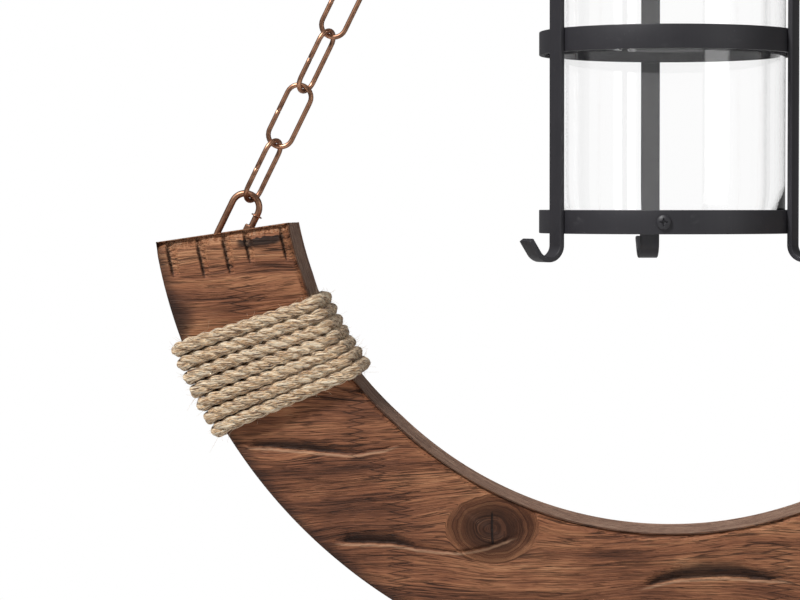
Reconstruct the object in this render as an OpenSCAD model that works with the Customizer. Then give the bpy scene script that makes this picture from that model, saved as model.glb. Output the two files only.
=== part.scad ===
// Half wagon wheel chandelier: a wooden rim on two chains, with a glass lantern in the middle.
// Millimetres, +Z up. The origin is on the ceiling, in the middle of the ceiling plate's top face.
// Seen along +Y the rim lies in the XZ plane, and the picture side is -Y.

/* [Wheel rim] */
// Radius of the outer edge
rim_outer_r = 310; // [290:1:340]
// Radius of the inner edge
rim_inner_r = 235; // [222:1:245]
// Height of the inner circle's centre above the outer one's
rim_inner_rise = 13; // [5:0.5:20]
// Thickness from front to back
rim_thickness = 50; // [44:1:62]
// Angle below the horizontal at which the rim's outer corners lie
rim_end_angle = 9.2; // [6:0.1:14]
// Slope of the cut end faces
rim_end_slope = 8.2; // [5:0.1:12]
// Chamfer of the outer edges
rim_edge_chamfer = 1.5; // [1:0.1:3]
// Hewn chamfer of the inner front edge
rim_hewn_chamfer = 3.5; // [1.5:0.1:5]

/* [Chisel cuts at the ends] */
// Number of cuts in an end
cut_count = 5; // [1:1:5]
// Place of the first cut, from the outer corner
cut_first = 9; // [7:0.5:11]
// Distance from cut to cut
cut_spacing = 16.3; // [10:0.1:16.5]
// Width of a cut
cut_w = 4.5; // [3:0.1:6]
// Depth of a cut where it leaves the end face
cut_depth = 3; // [1:0.1:4]
// Length of a cut along the rim
cut_len = 22; // [12:1:30]
// Lean of the cuts off the end face's normal
cut_lean = 3; // [0:0.5:5]

/* [Pocket and screw eye] */
// Width of the pocket along the end face
pocket_w = 37; // [36:0.5:42]
// Width of the pocket from front to back
pocket_t = 18; // [18:0.5:24]
// Shift of the pocket from the screw eye towards the wheel's middle
pocket_shift = 7; // [6:0.5:9]
// Depth of the screw eye's upper wire below the end face
eye_depth = 7.5; // [6.5:0.1:9]
// Radius of the screw eye, to the middle of its wire
eye_r = 6.5; // [6.2:0.1:8]
// Radius of the screw eye's wire
eye_wire_r = 2; // [1.6:0.05:2.2]
// Radius of the screw eye's shank
eye_shank_r = 2.4; // [2:0.1:3.5]
// Length of the shank in the wood
eye_shank_len = 30; // [20:1:45]

/* [Rope binding] */
// Turns of rope in each binding
bind_turns = 7; // [3:1:9]
// Rope diameter, as drawn tight
rope_d = 6.8; // [5:0.1:6.9]
// Point that the turns fan out from, right of the wheel's middle
bind_fan_x = 287; // [270:1:300]
// Height of that point above the outer circle's centre
bind_fan_z = 66; // [55:1:75]
// Slope of the first turn
bind_first_slope = 17.1; // [16.5:0.1:20]
// Slope from one turn to the next
bind_step_slope = 0.84; // [0.83:0.01:0.95]

/* [Chains] */
// Radius of the chain wire
link_wire_r = 1.5; // [1.2:0.05:1.7]
// Length of a link, outside
link_len = 43; // [38:0.5:50]
// Width of a link, outside
link_w = 18; // [16.5:0.5:20]
// Links in each side chain
side_links = 15; // [13:1:18]
// Links in the lantern's chain
lantern_links = 5; // [3:2:7]
// Turn of every second link of the side chains about the chain
link_roll = 66; // [60:1:90]
// Open seam of a bent link
link_seam = 0.4; // [0.2:0.1:0.8]

/* [Quick links] */
// Radius of the quick link's wire
quick_wire_r = 2; // [1.7:0.05:2.2]
// Distance between its legs, to the middle of the wire
quick_leg_gap = 17; // [16:0.5:19]
// Length of the quick link, to the middle of the wire
quick_len = 38; // [37:0.5:44]
// Size of the sleeve nut across its flats
quick_nut_af = 7.6; // [7:0.1:8]
// Length of the sleeve nut
quick_nut_len = 12; // [11:0.5:12.5]
// Travel of the sleeve nut when it is screwed open
quick_nut_travel = 6; // [5:0.5:6]

/* [Master ring and ceiling hook] */
// Radius of the master ring, to the middle of its wire
ring_r = 23; // [21:0.5:30]
// Radius of the master ring's wire
ring_wire_r = 2.5; // [2:0.1:2.8]
// Radius of the ceiling hook's bow, to the middle of its wire
hook_r = 12; // [11.5:0.5:15]
// Radius of the ceiling hook's wire
hook_wire_r = 3; // [2.6:0.1:3]
// Length of stem below the canopy nut
hook_neck = 6; // [4:0.5:15]

/* [Canopy and ceiling plate] */
// Radius of the canopy's ball shape
canopy_ball_r = 68; // [66:0.5:74]
// Height of the ball's centre above the ceiling
canopy_ball_rise = 28; // [24:0.5:30]
// Height of the canopy
canopy_h = 34; // [32:0.5:38]
// Wall of the canopy
canopy_wall = 1.2; // [0.8:0.1:2]
// Diameter of the ceiling plate
plate_d = 96; // [90:1:104]
// Thickness of the ceiling plate
plate_t = 3; // [2:0.5:4]
// Diameter of the circle of fixing holes
plate_pcd = 76; // [70:1:80]
// Radius of a fixing hole
plate_hole_r = 2.6; // [2.1:0.1:3.2]

/* [Lantern frame] */
// Outer radius of the lantern's rings
cage_r = 77.5; // [73:0.5:85]
// Thickness of the flat bar
flat_t = 3; // [2:0.1:3.5]
// Height of the rings
cage_ring_h = 13.9; // [11:0.1:18]
// Width of the three bars
bar_w = 12; // [10:0.5:14]
// Direction of the rear bar
bar_azimuth = 98.5; // [92:0.5:105]
// Direction of the left bar
left_bar_azimuth = 214.5; // [210:0.5:220]
// Direction of the right bar
right_bar_azimuth = 337; // [332:0.5:342]
// Direction of the front glass screw
screw_azimuth = 268; // [262:1:278]
// Depth of the top ring below the hub plate's top
top_ring_drop = 82.4; // [60:0.1:90]
// Distance from ring to ring
cage_ring_pitch = 106; // [90:0.1:120]
// Depth of the hook bend's centre below the lower ring's middle
bar_hook_drop = 13.5; // [10:0.1:20]
// Outer radius of the hook bend
bar_hook_r = 10; // [9:0.5:16]
// Angle through which the hook bends
bar_hook_sweep = 146; // [135:1:165]
// Straight tip of the hook
bar_hook_tip = 9.5; // [5:0.1:12]
// Outer radius of the bend at the top of a bar
bar_bend_r = 11; // [8:0.5:16]
// Radius of the hub plate
hub_r = 32; // [30:0.5:38]
// Radius at which the hub screws sit
hub_screw_at = 22.5; // [22:0.5:25]
// Height of the loop's socket on the hub plate
loop_socket_h = 13; // [11:0.5:18]
// Radius of the lantern's loop, to the middle of its wire
loop_r = 9; // [8.5:0.5:12]
// Radius of the loop's wire
loop_wire_r = 2.5; // [2:0.1:3]

/* [Glass cylinder] */
// Gap between the rings and the glass
glass_gap = 5; // [5:0.5:7]
// Wall of the glass
glass_wall = 3; // [2:0.1:4]
// Depth of the glass's upper edge below the hub plate's top
glass_top_drop = 30; // [22:1:45]

/* [Lampholder and bulb] */
// Outer radius of the lampholder
holder_r = 20; // [19:0.5:22]
// Length of the lampholder's body below its cap
holder_body_h = 34; // [32:0.5:40]
// Radius of the bulb's screw cap
bulb_cap_r = 13.3; // [13:0.05:13.5]
// Radius of the bulb's ball
bulb_r = 30; // [25:0.5:32]
// Length of the bulb from its cap's rim
bulb_len = 79; // [72:0.5:95]

/* [Fits] */
// Gap between wires that hang in each other
wire_gap = 0.25; // [0.15:0.05:0.4]
// Radial clearance of threads and pins
thread_gap = 0.05; // [0.02:0.01:0.1]
// Gap between a soft or resting piece and its seat
seat_gap = 0.25; // [0.15:0.05:0.4]

/* [Hidden] */
$fn = 72;
eps = 0.02;

// Chain: distances along the line from the ring's centre to the screw eye, to the wires' middles.
link_mid_r = link_w / 2 - link_wire_r;
link_mid_len = link_len - 2 * link_wire_r;
link_pitch = link_mid_len - 2 * link_wire_r - wire_gap;
quick_mid_r = quick_leg_gap / 2;
first_link_s = ring_r - ring_wire_r - link_wire_r - wire_gap;
last_link_s = first_link_s + link_mid_len + (side_links - 1) * link_pitch;
quick_s = last_link_s - link_wire_r - quick_wire_r - wire_gap;
quick_end_s = quick_s + quick_len;
eye_s = quick_end_s - quick_wire_r - eye_wire_r - wire_gap;

// Quick link, from its middle: the nut, the gap that it bridges and the collar above the thread.
nut_margin = 0.5;
nut_grip = 2.5;
quick_half = quick_len / 2 - quick_mid_r;
quick_nut_low = nut_margin - quick_half;
quick_gap_low = quick_nut_low + nut_grip;
quick_gap_high = quick_nut_low + quick_nut_len - nut_grip;
quick_collar_z = quick_nut_low + quick_nut_len + quick_nut_travel + nut_margin;
quick_collar_h = 0.8;
quick_collar_r = quick_wire_r + 1.4;

// Cut end of the rim, left side, seen from the front, about the outer circle's centre.
end_corner = -rim_outer_r * [cos(rim_end_angle), sin(rim_end_angle)];
end_dir = [cos(rim_end_slope), sin(rim_end_slope)];
end_normal = [-end_dir[1], end_dir[0]];
inner_centre = [0, rim_inner_rise];
end_len = near_hit(end_corner, end_dir, inner_centre, rim_inner_r);
eye_top = end_corner + end_dir * end_len / 2 - end_normal * eye_depth;
chain_rise = sqrt(eye_s * eye_s - eye_top[0] * eye_top[0]);
chain_angle = atan2(-eye_top[0], chain_rise);
pocket_depth = eye_depth + 2 * eye_r + eye_wire_r + 2;

// Heights, from the ceiling down.
stem_r = hook_wire_r;
canopy_nut_h = 8;
canopy_nut_r = 8;
canopy_nut_z = -canopy_h - canopy_nut_h;
hook_start = 65;
hook_tip = 175;
hook_joint = 1;
hook_bend_r = hook_r * cos(hook_start) / (1 - cos(hook_start));
hook_stem_z = canopy_nut_z - hook_neck;
hook_z = hook_stem_z - hook_bend_r * sin(hook_start) - hook_r * sin(hook_start);
hook_low_z = hook_z - hook_r;
ring_z = hook_low_z + hook_wire_r + ring_wire_r + wire_gap - ring_r;
wheel_z = ring_z - chain_rise - eye_top[1];
lantern_link_s = first_link_s + link_mid_len + (lantern_links - 1) * link_pitch;
loop_z = ring_z - lantern_link_s + link_wire_r + loop_wire_r + wire_gap - loop_r;
hub_z = loop_z - loop_r - loop_socket_h;

// Lantern, below the hub plate's top. The supply lead comes down in one line, from the hole in the
// ceiling plate through the canopy's bushing to the gland in the hub plate.
bend_steps = 16;
hub_t = 3;
leg_inner = 12;
bar_azimuths = [bar_azimuth, left_bar_azimuth, right_bar_azimuth];
lower_ring_drop = top_ring_drop + 2 * cage_ring_pitch;
m4_r = 2;
m4_head_r = 4.3;
m4_head_h = 2.6;
m4_nut_af = 7;
m4_nut_h = 2.8;
nipple_r = 5;
nipple_bore_r = 3.4;
lock_nut_af = 14;
lock_nut_h = 3;
lead_at = 20;
lead_azimuth = bar_azimuth + 39.5;
lead_place = lead_at * [cos(lead_azimuth), sin(lead_azimuth)];
gland_r = 4;
gland_nut_af = 11;
gland_nut_h = 3;
nipple_up = loop_socket_h - 2.5;
nipple_down = 15;
glass_r = cage_r - flat_t - glass_gap;
glass_low_drop = lower_ring_drop - m4_r - seat_gap;
holder_cap_drop = 8;
holder_cap_h = 20;
holder_body_drop = holder_cap_drop + holder_cap_h;
holder_wall = 1.2;
shell_wall = 1.2;
shell_r = bulb_cap_r + thread_gap;
holder_low = holder_body_drop + holder_body_h;
bulb_cap_h = 23;
bulb_cap_top = holder_low - bulb_cap_h;

// Ceiling fittings.
m3_r = 1.5;
hook_nut_af = 10;
hook_nut_h = 4;
lead_hole_r = 8;
earth_at = [26, 0];
block_size = [34, 16, 13];
block_y = -22;
block_low = -plate_t - block_size[2];
block_poles = 3;
block_pitch = 10;
terminal_at = 4.5;
terminal_r = 1.75;
terminal_screw_len = 4;
wire_bore_r = 1.6;
m3_head_r = 2.4;
m3_head_h = 1.8;
bushing_r = 4;
bushing_bore_r = 2.6;

// Colours.
iron = "#26262a";
copper = "#8a6248";
steel = "#a8a8ac";
brass = "#b99a55";
wood = "#6e4a33";
rope = "#c2ab85";
plastic = "#1e1e20";

// Distance along a ray to the nearer and the farther point of a circle.
function ray_half(p, d, c, r) = sqrt(pow((p - c) * d, 2) - (p - c) * (p - c) + r * r);
function near_hit(p, d, c, r) = -((p - c) * d) - ray_half(p, d, c, r);
function far_hit(p, d, c, r) = -((p - c) * d) + ray_half(p, d, c, r);

// Turns a flat drawing so that it stands in the XZ plane.
module upright() {
    rotate([90, 0, 0]) children();
}

// Turns a flat drawing so that it stands in the YZ plane.
module sideways() {
    rotate([90, 0, 90]) children();
}

module mirrored() {
    mirror([1, 0, 0]) children();
}

// Part of a round wire ring in the XY plane.
module wire_arc(r, wire_r, from, sweep) {
    rotate(from) rotate_extrude(angle = sweep) translate([r, 0]) circle(wire_r, $fn = 24);
}

module rod(r, from_z, to_z) {
    translate([0, 0, from_z]) cylinder(r = r, h = to_z - from_z, $fn = 24);
}

// Long oval of round wire in the XZ plane, about its middle. len and r go to the wire's middle.
module wire_oval(len, r, wire_r) {
    half = len / 2 - r;
    upright() translate([0, half]) wire_arc(r, wire_r, 0, 180);
    upright() translate([0, -half]) wire_arc(r, wire_r, 180, 180);
    for (side = [-1, 1]) translate([side * r, 0, 0]) rod(wire_r, -half, half);
}

module chain_link() {
    difference() {
        wire_oval(link_mid_len, link_mid_r, link_wire_r);
        translate([-link_mid_r - 2 * link_wire_r, -2 * link_wire_r, -link_seam / 2])
            cube([4 * link_wire_r, 4 * link_wire_r, link_seam]);
    }
}

// Puts a piece on the left chain's line, s below the ring's centre.
module on_chain(s) {
    translate([0, 0, ring_z]) rotate([0, chain_angle, 0]) translate([0, 0, -s]) children();
}

module side_chain() {
    color(copper)
        for (k = [0 : side_links - 1])
            on_chain(first_link_s + link_mid_len / 2 + k * link_pitch)
                rotate(k % 2 == 0 ? link_roll : 0) chain_link();
}

module chain_left() {
    side_chain();
}

module chain_right() {
    mirrored() side_chain();
}

module lantern_chain() {
    color(copper)
        for (k = [0 : lantern_links - 1])
            translate([0, 0, ring_z - first_link_s - link_mid_len / 2 - k * link_pitch])
                rotate(k % 2 == 0 ? 90 : 0) chain_link();
}

// Quick link about its middle, with its open leg at +X and the threaded stub above the gap.
module quick_link() {
    color(copper) {
        difference() {
            wire_oval(quick_len, quick_mid_r, quick_wire_r);
            translate([quick_mid_r - 2 * quick_wire_r, -2 * quick_wire_r, quick_gap_low])
                cube([4 * quick_wire_r, 4 * quick_wire_r, quick_gap_high - quick_gap_low]);
        }
        translate([quick_mid_r, 0, 0])
            rod(quick_collar_r, quick_collar_z, quick_collar_z + quick_collar_h);
    }
}

module quick_nut() {
    color(copper)
        translate([quick_mid_r, 0, quick_nut_low]) difference() {
            cylinder(d = quick_nut_af / cos(30), h = quick_nut_len, $fn = 6);
            translate([0, 0, -1]) cylinder(r = quick_wire_r + thread_gap, h = quick_nut_len + 2, $fn = 24);
        }
}

module on_quick_place() {
    on_chain(quick_s + quick_len / 2) children();
}

module quick_link_left() {
    on_quick_place() quick_link();
}

module quick_link_right() {
    mirrored() on_quick_place() quick_link();
}

module link_nut_left() {
    on_quick_place() quick_nut();
}

module link_nut_right() {
    mirrored() on_quick_place() quick_nut();
}

// Frame of the left end face: X along the face, Z out of the wood, at the screw eye's foot.
module on_end_face() {
    foot = eye_top + end_normal * eye_depth;
    translate([foot[0], 0, wheel_z + foot[1]]) rotate([0, -rim_end_slope, 0]) children();
}

module screw_eye() {
    collar_h = 1.5;
    color(steel) on_end_face() {
        translate([0, 0, -eye_depth - eye_r]) sideways() wire_arc(eye_r, eye_wire_r, 0, 360);
        rod(eye_wire_r, -pocket_depth, -eye_depth - 2 * eye_r);
        rod(eye_shank_r + 2.2, -pocket_depth, -pocket_depth + collar_h);
        rod(eye_shank_r, -pocket_depth - eye_shank_len, -pocket_depth + collar_h);
    }
}

module screw_eye_left() {
    screw_eye();
}

module screw_eye_right() {
    mirrored() screw_eye();
}

// Mortise for the screw eye and the quick link, with the shank's pilot bore.
module end_pocket() {
    on_end_face() {
        translate([pocket_shift - pocket_w / 2, -pocket_t / 2, -pocket_depth])
            cube([pocket_w, pocket_t, pocket_depth + 2]);
        rod(eye_shank_r + thread_gap, -pocket_depth - eye_shank_len - 1, -pocket_depth + 1);
    }
}

// Chisel cuts that run out from the end face into the front face.
module chisel_cuts() {
    on_end_face()
        for (k = [0 : cut_count - 1])
            translate([cut_first + k * cut_spacing - end_len / 2, -rim_thickness / 2, 0])
                rotate([0, -cut_lean, 0]) translate([-cut_w / 2, 0, 0]) sideways() linear_extrude(cut_w)
                    polygon([[-1, 2], [cut_depth, 2], [cut_depth, 0],
                        [-1, -cut_len * (cut_depth + 1) / cut_depth]]);
}

module rim_disc() {
    half = rim_thickness / 2;
    c = rim_edge_chamfer;
    r = rim_outer_r;
    rotate_extrude($fn = 180)
        polygon([[0, -half], [r - c, -half], [r, c - half], [r, half - c], [r - c, half], [0, half]]);
}

module rim_hollow() {
    half = rim_thickness / 2;
    c = rim_edge_chamfer;
    f = rim_hewn_chamfer;
    r = rim_inner_r;
    rotate_extrude($fn = 180)
        polygon([[0, -half - 1], [r + c + 1, -half - 1], [r, c - half], [r, half - f],
            [r + f + 1, half + 1], [0, half + 1]]);
}

// Everything above the left cut line.
module above_end() {
    reach = 4 * rim_outer_r;
    translate([end_corner[0], 0, end_corner[1]]) rotate([0, -rim_end_slope, 0])
        translate([-reach / 2, -reach / 2, 0]) cube(reach);
}

module wheel_rim() {
    color(wood) difference() {
        translate([0, 0, wheel_z]) difference() {
            upright() rim_disc();
            upright() translate(inner_centre) rim_hollow();
            above_end();
            mirrored() above_end();
        }
        end_pocket();
        mirrored() end_pocket();
        chisel_cuts();
        mirrored() chisel_cuts();
    }
}

// Rope binding: one tube round the rim's section, each turn a little steeper than the one before.
rope_r = rope_d / 2;
rope_sides = 6;
rope_edge = 1;
rope_corner_r = rope_r + seat_gap + rope_edge;
fan = [bind_fan_x, bind_fan_z];

// Slope, direction, inner end and outer end of the rope's run at u turns from the start.
function run_slope(u) = bind_first_slope + bind_step_slope * (u - 0.5);
function run_dir(u) = -[cos(run_slope(u)), sin(run_slope(u))];
function run_inner(u) = far_hit(fan, run_dir(u), inner_centre, rim_inner_r);
function run_outer(u) = far_hit(fan, run_dir(u), [0, 0], rim_outer_r);

// One turn round the section: a corner has four rings, a long side three more, a short side one.
// Each step is the share of the half length, the share of the half width and the outward angle.
corner_signs = [[1, 1], [-1, 1], [-1, -1], [1, -1]];
side_extra = [3, 1, 3, 1];
loop_steps = [
    for (side = [0 : 3])
        let (from = corner_signs[side], to = corner_signs[(side + 1) % 4], extra = side_extra[side])
            each concat(
                [for (j = [0 : 3]) concat(from, 90 * side + 30 * j)],
                [for (j = [1 : extra]) concat(from + (to - from) * j / (extra + 1), 90 * (side + 1))])];
loop_rings = 24;
rear_middle = 5;

// Middle of the rope at step n, and its outward direction, about the outer circle's centre.
function rope_step(n) = loop_steps[(n + rear_middle) % loop_rings];
function rope_out(n) =
    let (a = rope_step(n)[2], d = run_dir(n / loop_rings))
        [d[0] * cos(a), sin(a), d[1] * cos(a)];
function rope_point(n) =
    let (u = n / loop_rings, s = rope_step(n), d = run_dir(u), near = run_inner(u), far = run_outer(u),
        along = (near + far) / 2 + s[0] * ((far - near) / 2 - rope_edge),
        across = s[1] * (rim_thickness / 2 - rope_edge))
        [fan[0] + d[0] * along, across, fan[1] + d[1] * along] + rope_corner_r * rope_out(n);

function unit(v) = v / norm(v);

// Six points round the rope at step n.
function rope_ring(n) =
    let (t = unit(rope_point(n + 1) - rope_point(n - 1)), side = unit(cross(t, rope_out(n))),
        out = cross(side, t), p = rope_point(n))
        [for (i = [0 : rope_sides - 1])
            let (a = 360 * i / rope_sides) p + rope_r * (out * cos(a) + side * sin(a))];

rope_last = bind_turns * loop_rings;
rope_gap = min([
    for (n = [0 : rope_last - loop_rings]) for (m = [-6 : 6])
        if (n + loop_rings + m <= rope_last)
            norm(rope_point(n) - rope_point(n + loop_rings + m)) - rope_d]);
echo(least_gap_between_turns = rope_gap);

module rope_binding() {
    rings = [for (n = [1 : rope_last - 1]) rope_ring(n)];
    count = len(rings);
    points = [for (ring = rings) each ring];
    sides = [
        for (n = [0 : count - 2]) for (i = [0 : rope_sides - 1])
            let (j = (i + 1) % rope_sides, a = n * rope_sides, b = a + rope_sides)
                each [[a + i, b + i, b + j], [a + i, b + j, a + j]]];
    first_end = [for (i = [1 : rope_sides - 2]) [0, i, i + 1]];
    base = (count - 1) * rope_sides;
    last_end = [for (i = [1 : rope_sides - 2]) [base, base + i + 1, base + i]];
    color(rope) translate([0, 0, wheel_z])
        polyhedron(points, concat(sides, first_end, last_end));
}

module rope_binding_left() {
    rope_binding();
}

module rope_binding_right() {
    mirrored() rope_binding();
}

module ceiling_plate() {
    color(steel) difference() {
        translate([0, 0, -plate_t]) cylinder(d = plate_d, h = plate_t);
        rod(stem_r + thread_gap, -plate_t - 1, 1);
        translate(lead_place) rod(lead_hole_r, -plate_t - 1, 1);
        translate(earth_at) rod(m4_r + thread_gap, -plate_t - 1, 1);
        for (x = [-1, 1])
            translate([x * block_pitch / 2, block_y]) rod(m3_r + thread_gap, -plate_t - 1, 1);
        for (k = [0 : 3])
            rotate(45 + 90 * k) translate([plate_pcd / 2, 0]) rod(plate_hole_r, -plate_t - 1, 1);
    }
}

module hex_nut(af, bore_r, h) {
    difference() {
        cylinder(d = af / cos(30), h = h, $fn = 6);
        translate([0, 0, -1]) cylinder(r = bore_r + thread_gap, h = h + 2, $fn = 36);
    }
}

// Open hook whose bow hangs under the stem's middle. A small swelling covers each joint of its arcs.
module ceiling_hook() {
    swelling_r = 1.04 * hook_wire_r;
    color(iron) {
        rod(stem_r, hook_stem_z + hook_joint, 0);
        translate([0, 0, hook_stem_z]) {
            sphere(swelling_r, $fn = 24);
            sideways() translate([hook_bend_r, 0])
                wire_arc(hook_bend_r, hook_wire_r, 180 + hook_joint, hook_start - 2 * hook_joint);
        }
        translate([0, 0, hook_z]) {
            sideways() rotate(hook_start) translate([hook_r, 0]) sphere(swelling_r, $fn = 24);
            sideways()
                wire_arc(hook_r, hook_wire_r, hook_tip, 360 + hook_start - hook_joint - hook_tip);
        }
    }
}

module hook_lock_nut() {
    color(steel) translate([0, 0, -plate_t - hook_nut_h]) hex_nut(hook_nut_af, stem_r, hook_nut_h);
}

module canopy() {
    inner_r = canopy_ball_r - canopy_wall;
    color(iron) difference() {
        canopy_ball(canopy_ball_r, canopy_h);
        canopy_ball(inner_r, canopy_h - canopy_wall);
        translate([-inner_r, -inner_r, 0]) cube([2 * inner_r, 2 * inner_r, 2]);
        rod(stem_r + 0.3, -canopy_h - 1, 0);
        translate(lead_place) rod(bushing_r + thread_gap, -canopy_h - 1, 0);
    }
}

// The part of a ball that hangs below the ceiling, cut flat at its lower end.
module canopy_ball(r, h) {
    intersection() {
        translate([0, 0, canopy_ball_rise]) sphere(r, $fn = 120);
        translate([-r, -r, -h]) cube([2 * r, 2 * r, h]);
    }
}

// Round nut with a flange against the canopy.
module canopy_nut() {
    flange_h = 2;
    flange_z = canopy_nut_z + canopy_nut_h - flange_h;
    color(iron) difference() {
        union() {
            rod(canopy_nut_r, canopy_nut_z, flange_z);
            rod(canopy_nut_r + 2, flange_z, -canopy_h);
        }
        rod(stem_r + thread_gap, canopy_nut_z - 1, 1 - canopy_h);
    }
}

module block_places() {
    for (k = [0 : block_poles - 1])
        translate([(k - (block_poles - 1) / 2) * block_pitch, block_y]) children();
}

module on_terminals() {
    block_places() for (y = [-1, 1]) translate([0, y * terminal_at]) children();
}

module on_block_screws() {
    for (x = [-1, 1]) translate([x * block_pitch / 2, block_y]) children();
}

module terminal_block() {
    wire_z = block_low + block_size[2] / 2;
    color("ivory") difference() {
        translate([-block_size[0] / 2, block_y - block_size[1] / 2, block_low]) cube(block_size);
        on_terminals() rod(terminal_r + 0.15, block_low - 1, wire_z);
        block_places() translate([0, 0, wire_z]) upright() rod(wire_bore_r, -block_size[1], block_size[1]);
        on_block_screws() rod(m3_r + thread_gap, block_low - 1, 0);
    }
}

// Grub screws with a slot, sunk in the terminal block.
module terminal_screws() {
    low = block_low + 0.5;
    slot_w = 0.5;
    color(steel) on_terminals() difference() {
        rod(terminal_r, low, low + terminal_screw_len);
        translate([-2 * terminal_r, -slot_w / 2, low - 1]) cube([4 * terminal_r, slot_w, 1 + slot_w]);
    }
}

module block_screws() {
    color(steel) on_block_screws() {
        rod(m3_r, block_low, -0.5);
        rod(m3_head_r, block_low - m3_head_h, block_low);
    }
}

// Pan head screw whose head stands on the XY plane, with its shank below and a cross in its head.
module pan_screw(r, head_r, head_h, len) {
    dome_r = 1.25 * head_r;
    cross_w = 0.8;
    cross_len = 1.2 * head_r;
    cross_depth = 1.2;
    rod(r, -len, 0.1);
    difference() {
        intersection() {
            rod(head_r, 0, head_h);
            translate([0, 0, head_h - dome_r]) sphere(dome_r);
        }
        for (turn = [0, 90])
            rotate(turn) translate([-cross_len / 2, -cross_w / 2, head_h - cross_depth])
                cube([cross_len, cross_w, 2 * cross_depth]);
    }
}

module earth_screw() {
    color(brass) translate([earth_at[0], earth_at[1], -plate_t]) rotate([180, 0, 0])
        pan_screw(m4_r, m4_head_r, m4_head_h, plate_t - 0.5);
}

// Insulating sleeve for the supply lead, with a rim on each side of the sheet that it passes through.
module sleeve(r, bore_r, low_z, high_z, rim_r, rim_z, rim_h) {
    difference() {
        union() {
            rod(r, low_z, high_z);
            rod(rim_r, rim_z, rim_z + rim_h);
        }
        rod(bore_r, low_z - 1, high_z + 1);
    }
}

module canopy_bushing() {
    rim_h = 2;
    color(plastic) translate(lead_place)
        sleeve(bushing_r, bushing_bore_r, -canopy_h - rim_h, 5 - canopy_h, bushing_r + 2,
            -canopy_h - rim_h, rim_h);
}

module master_ring() {
    color(iron) translate([0, 0, ring_z]) upright() wire_arc(ring_r, ring_wire_r, 0, 360);
}

// Lantern: its own frame has the hub plate's top at zero.
module lantern_place() {
    translate([0, 0, hub_z]) children();
}

module on_bars() {
    for (azimuth = bar_azimuths) rotate(azimuth) children();
}

module lantern_loop() {
    color(iron) {
        translate([0, 0, loop_z]) upright() wire_arc(loop_r, loop_wire_r, 0, 360);
        lantern_place() difference() {
            rod(nipple_r + 2.5, 0, loop_socket_h);
            rod(nipple_r + thread_gap, -1, nipple_up + 0.5);
        }
    }
}

module lantern_nipple() {
    color(steel) lantern_place() difference() {
        rod(nipple_r, -nipple_down, nipple_up);
        rod(nipple_bore_r, -nipple_down - 1, nipple_up + 1);
    }
}

module hub_lock_nut() {
    color(steel) lantern_place()
        translate([0, 0, -hub_t - lock_nut_h]) hex_nut(lock_nut_af, nipple_r, lock_nut_h);
}

module lantern_hub() {
    color(iron) lantern_place() difference() {
        rod(hub_r, -hub_t, 0);
        rod(nipple_r + thread_gap, -hub_t - 1, 1);
        on_bars() translate([hub_screw_at, 0]) rod(m4_r + thread_gap, -hub_t - 1, 1);
        translate(lead_place) rod(gland_r + thread_gap, -hub_t - 1, 1);
    }
}

function polar(r, a) = r * [cos(a), sin(a)];
function arc_points(c, r, from, to) =
    [for (j = [0 : bend_steps]) c + polar(r, from + (to - from) * j / bend_steps)];

// Flat bar from the hub plate out and down the lantern, ending in an outward hook.
module lantern_bar(azimuth) {
    outer = cage_r + flat_t;
    bend_c = [outer - bar_bend_r, -hub_t - bar_bend_r];
    hook_c = [cage_r + bar_hook_r, -lower_ring_drop - bar_hook_drop];
    hook_end = 180 + bar_hook_sweep;
    tip = bar_hook_tip * polar(1, hook_end + 90);
    outside = concat(
        [[leg_inner, -hub_t]],
        arc_points(bend_c, bar_bend_r, 90, 0),
        arc_points(hook_c, bar_hook_r - flat_t, 180, hook_end),
        [hook_c + polar(bar_hook_r - flat_t, hook_end) + tip]);
    inside = concat(
        [hook_c + polar(bar_hook_r, hook_end) + tip],
        arc_points(hook_c, bar_hook_r, hook_end, 180),
        arc_points(bend_c, bar_bend_r - flat_t, 0, 90),
        [[leg_inner, -hub_t - flat_t]]);
    color(iron) lantern_place() rotate(azimuth) difference() {
        upright() linear_extrude(bar_w, center = true) polygon(concat(outside, inside));
        translate([hub_screw_at, 0]) rod(m4_r + thread_gap, -hub_t - flat_t - 1, 1);
    }
}

module lantern_bar_rear() {
    lantern_bar(bar_azimuth);
}

module lantern_bar_left() {
    lantern_bar(left_bar_azimuth);
}

module lantern_bar_right() {
    lantern_bar(right_bar_azimuth);
}

module cage_ring(drop, screw_holes) {
    color(iron) lantern_place() translate([0, 0, -drop]) difference() {
        translate([0, 0, -cage_ring_h / 2]) cylinder(r = cage_r, h = cage_ring_h, $fn = 120);
        translate([0, 0, -cage_ring_h / 2 - 1])
            cylinder(r = cage_r - flat_t, h = cage_ring_h + 2, $fn = 120);
        if (screw_holes)
            on_glass_screws() rod(m4_r + thread_gap, -2 * flat_t, 1);
    }
}

// Puts a piece at each glass screw, with +Z outward from the lower ring's outer face.
module on_glass_screws() {
    for (k = [0 : 2])
        rotate(screw_azimuth + 120 * k) translate([cage_r, 0, 0]) rotate([0, 90, 0]) children();
}

module lower_ring() {
    cage_ring(lower_ring_drop, true);
}

module upper_ring() {
    cage_ring(top_ring_drop + cage_ring_pitch, false);
}

module top_ring() {
    cage_ring(top_ring_drop, false);
}

module hub_screws() {
    color(iron) lantern_place() on_bars() translate([hub_screw_at, 0])
        pan_screw(m4_r, m4_head_r, m4_head_h, hub_t + flat_t + m4_nut_h + 0.5);
}

module hub_nuts() {
    color(iron) lantern_place() on_bars()
        translate([hub_screw_at, 0, -hub_t - flat_t - m4_nut_h]) hex_nut(m4_nut_af, m4_r, m4_nut_h);
}

// The glass stands on the ends of these screws.
module glass_screws() {
    color(iron) lantern_place() translate([0, 0, -lower_ring_drop]) on_glass_screws()
        pan_screw(m4_r, m4_head_r, m4_head_h, cage_r - glass_r + glass_wall + 3);
}

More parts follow.
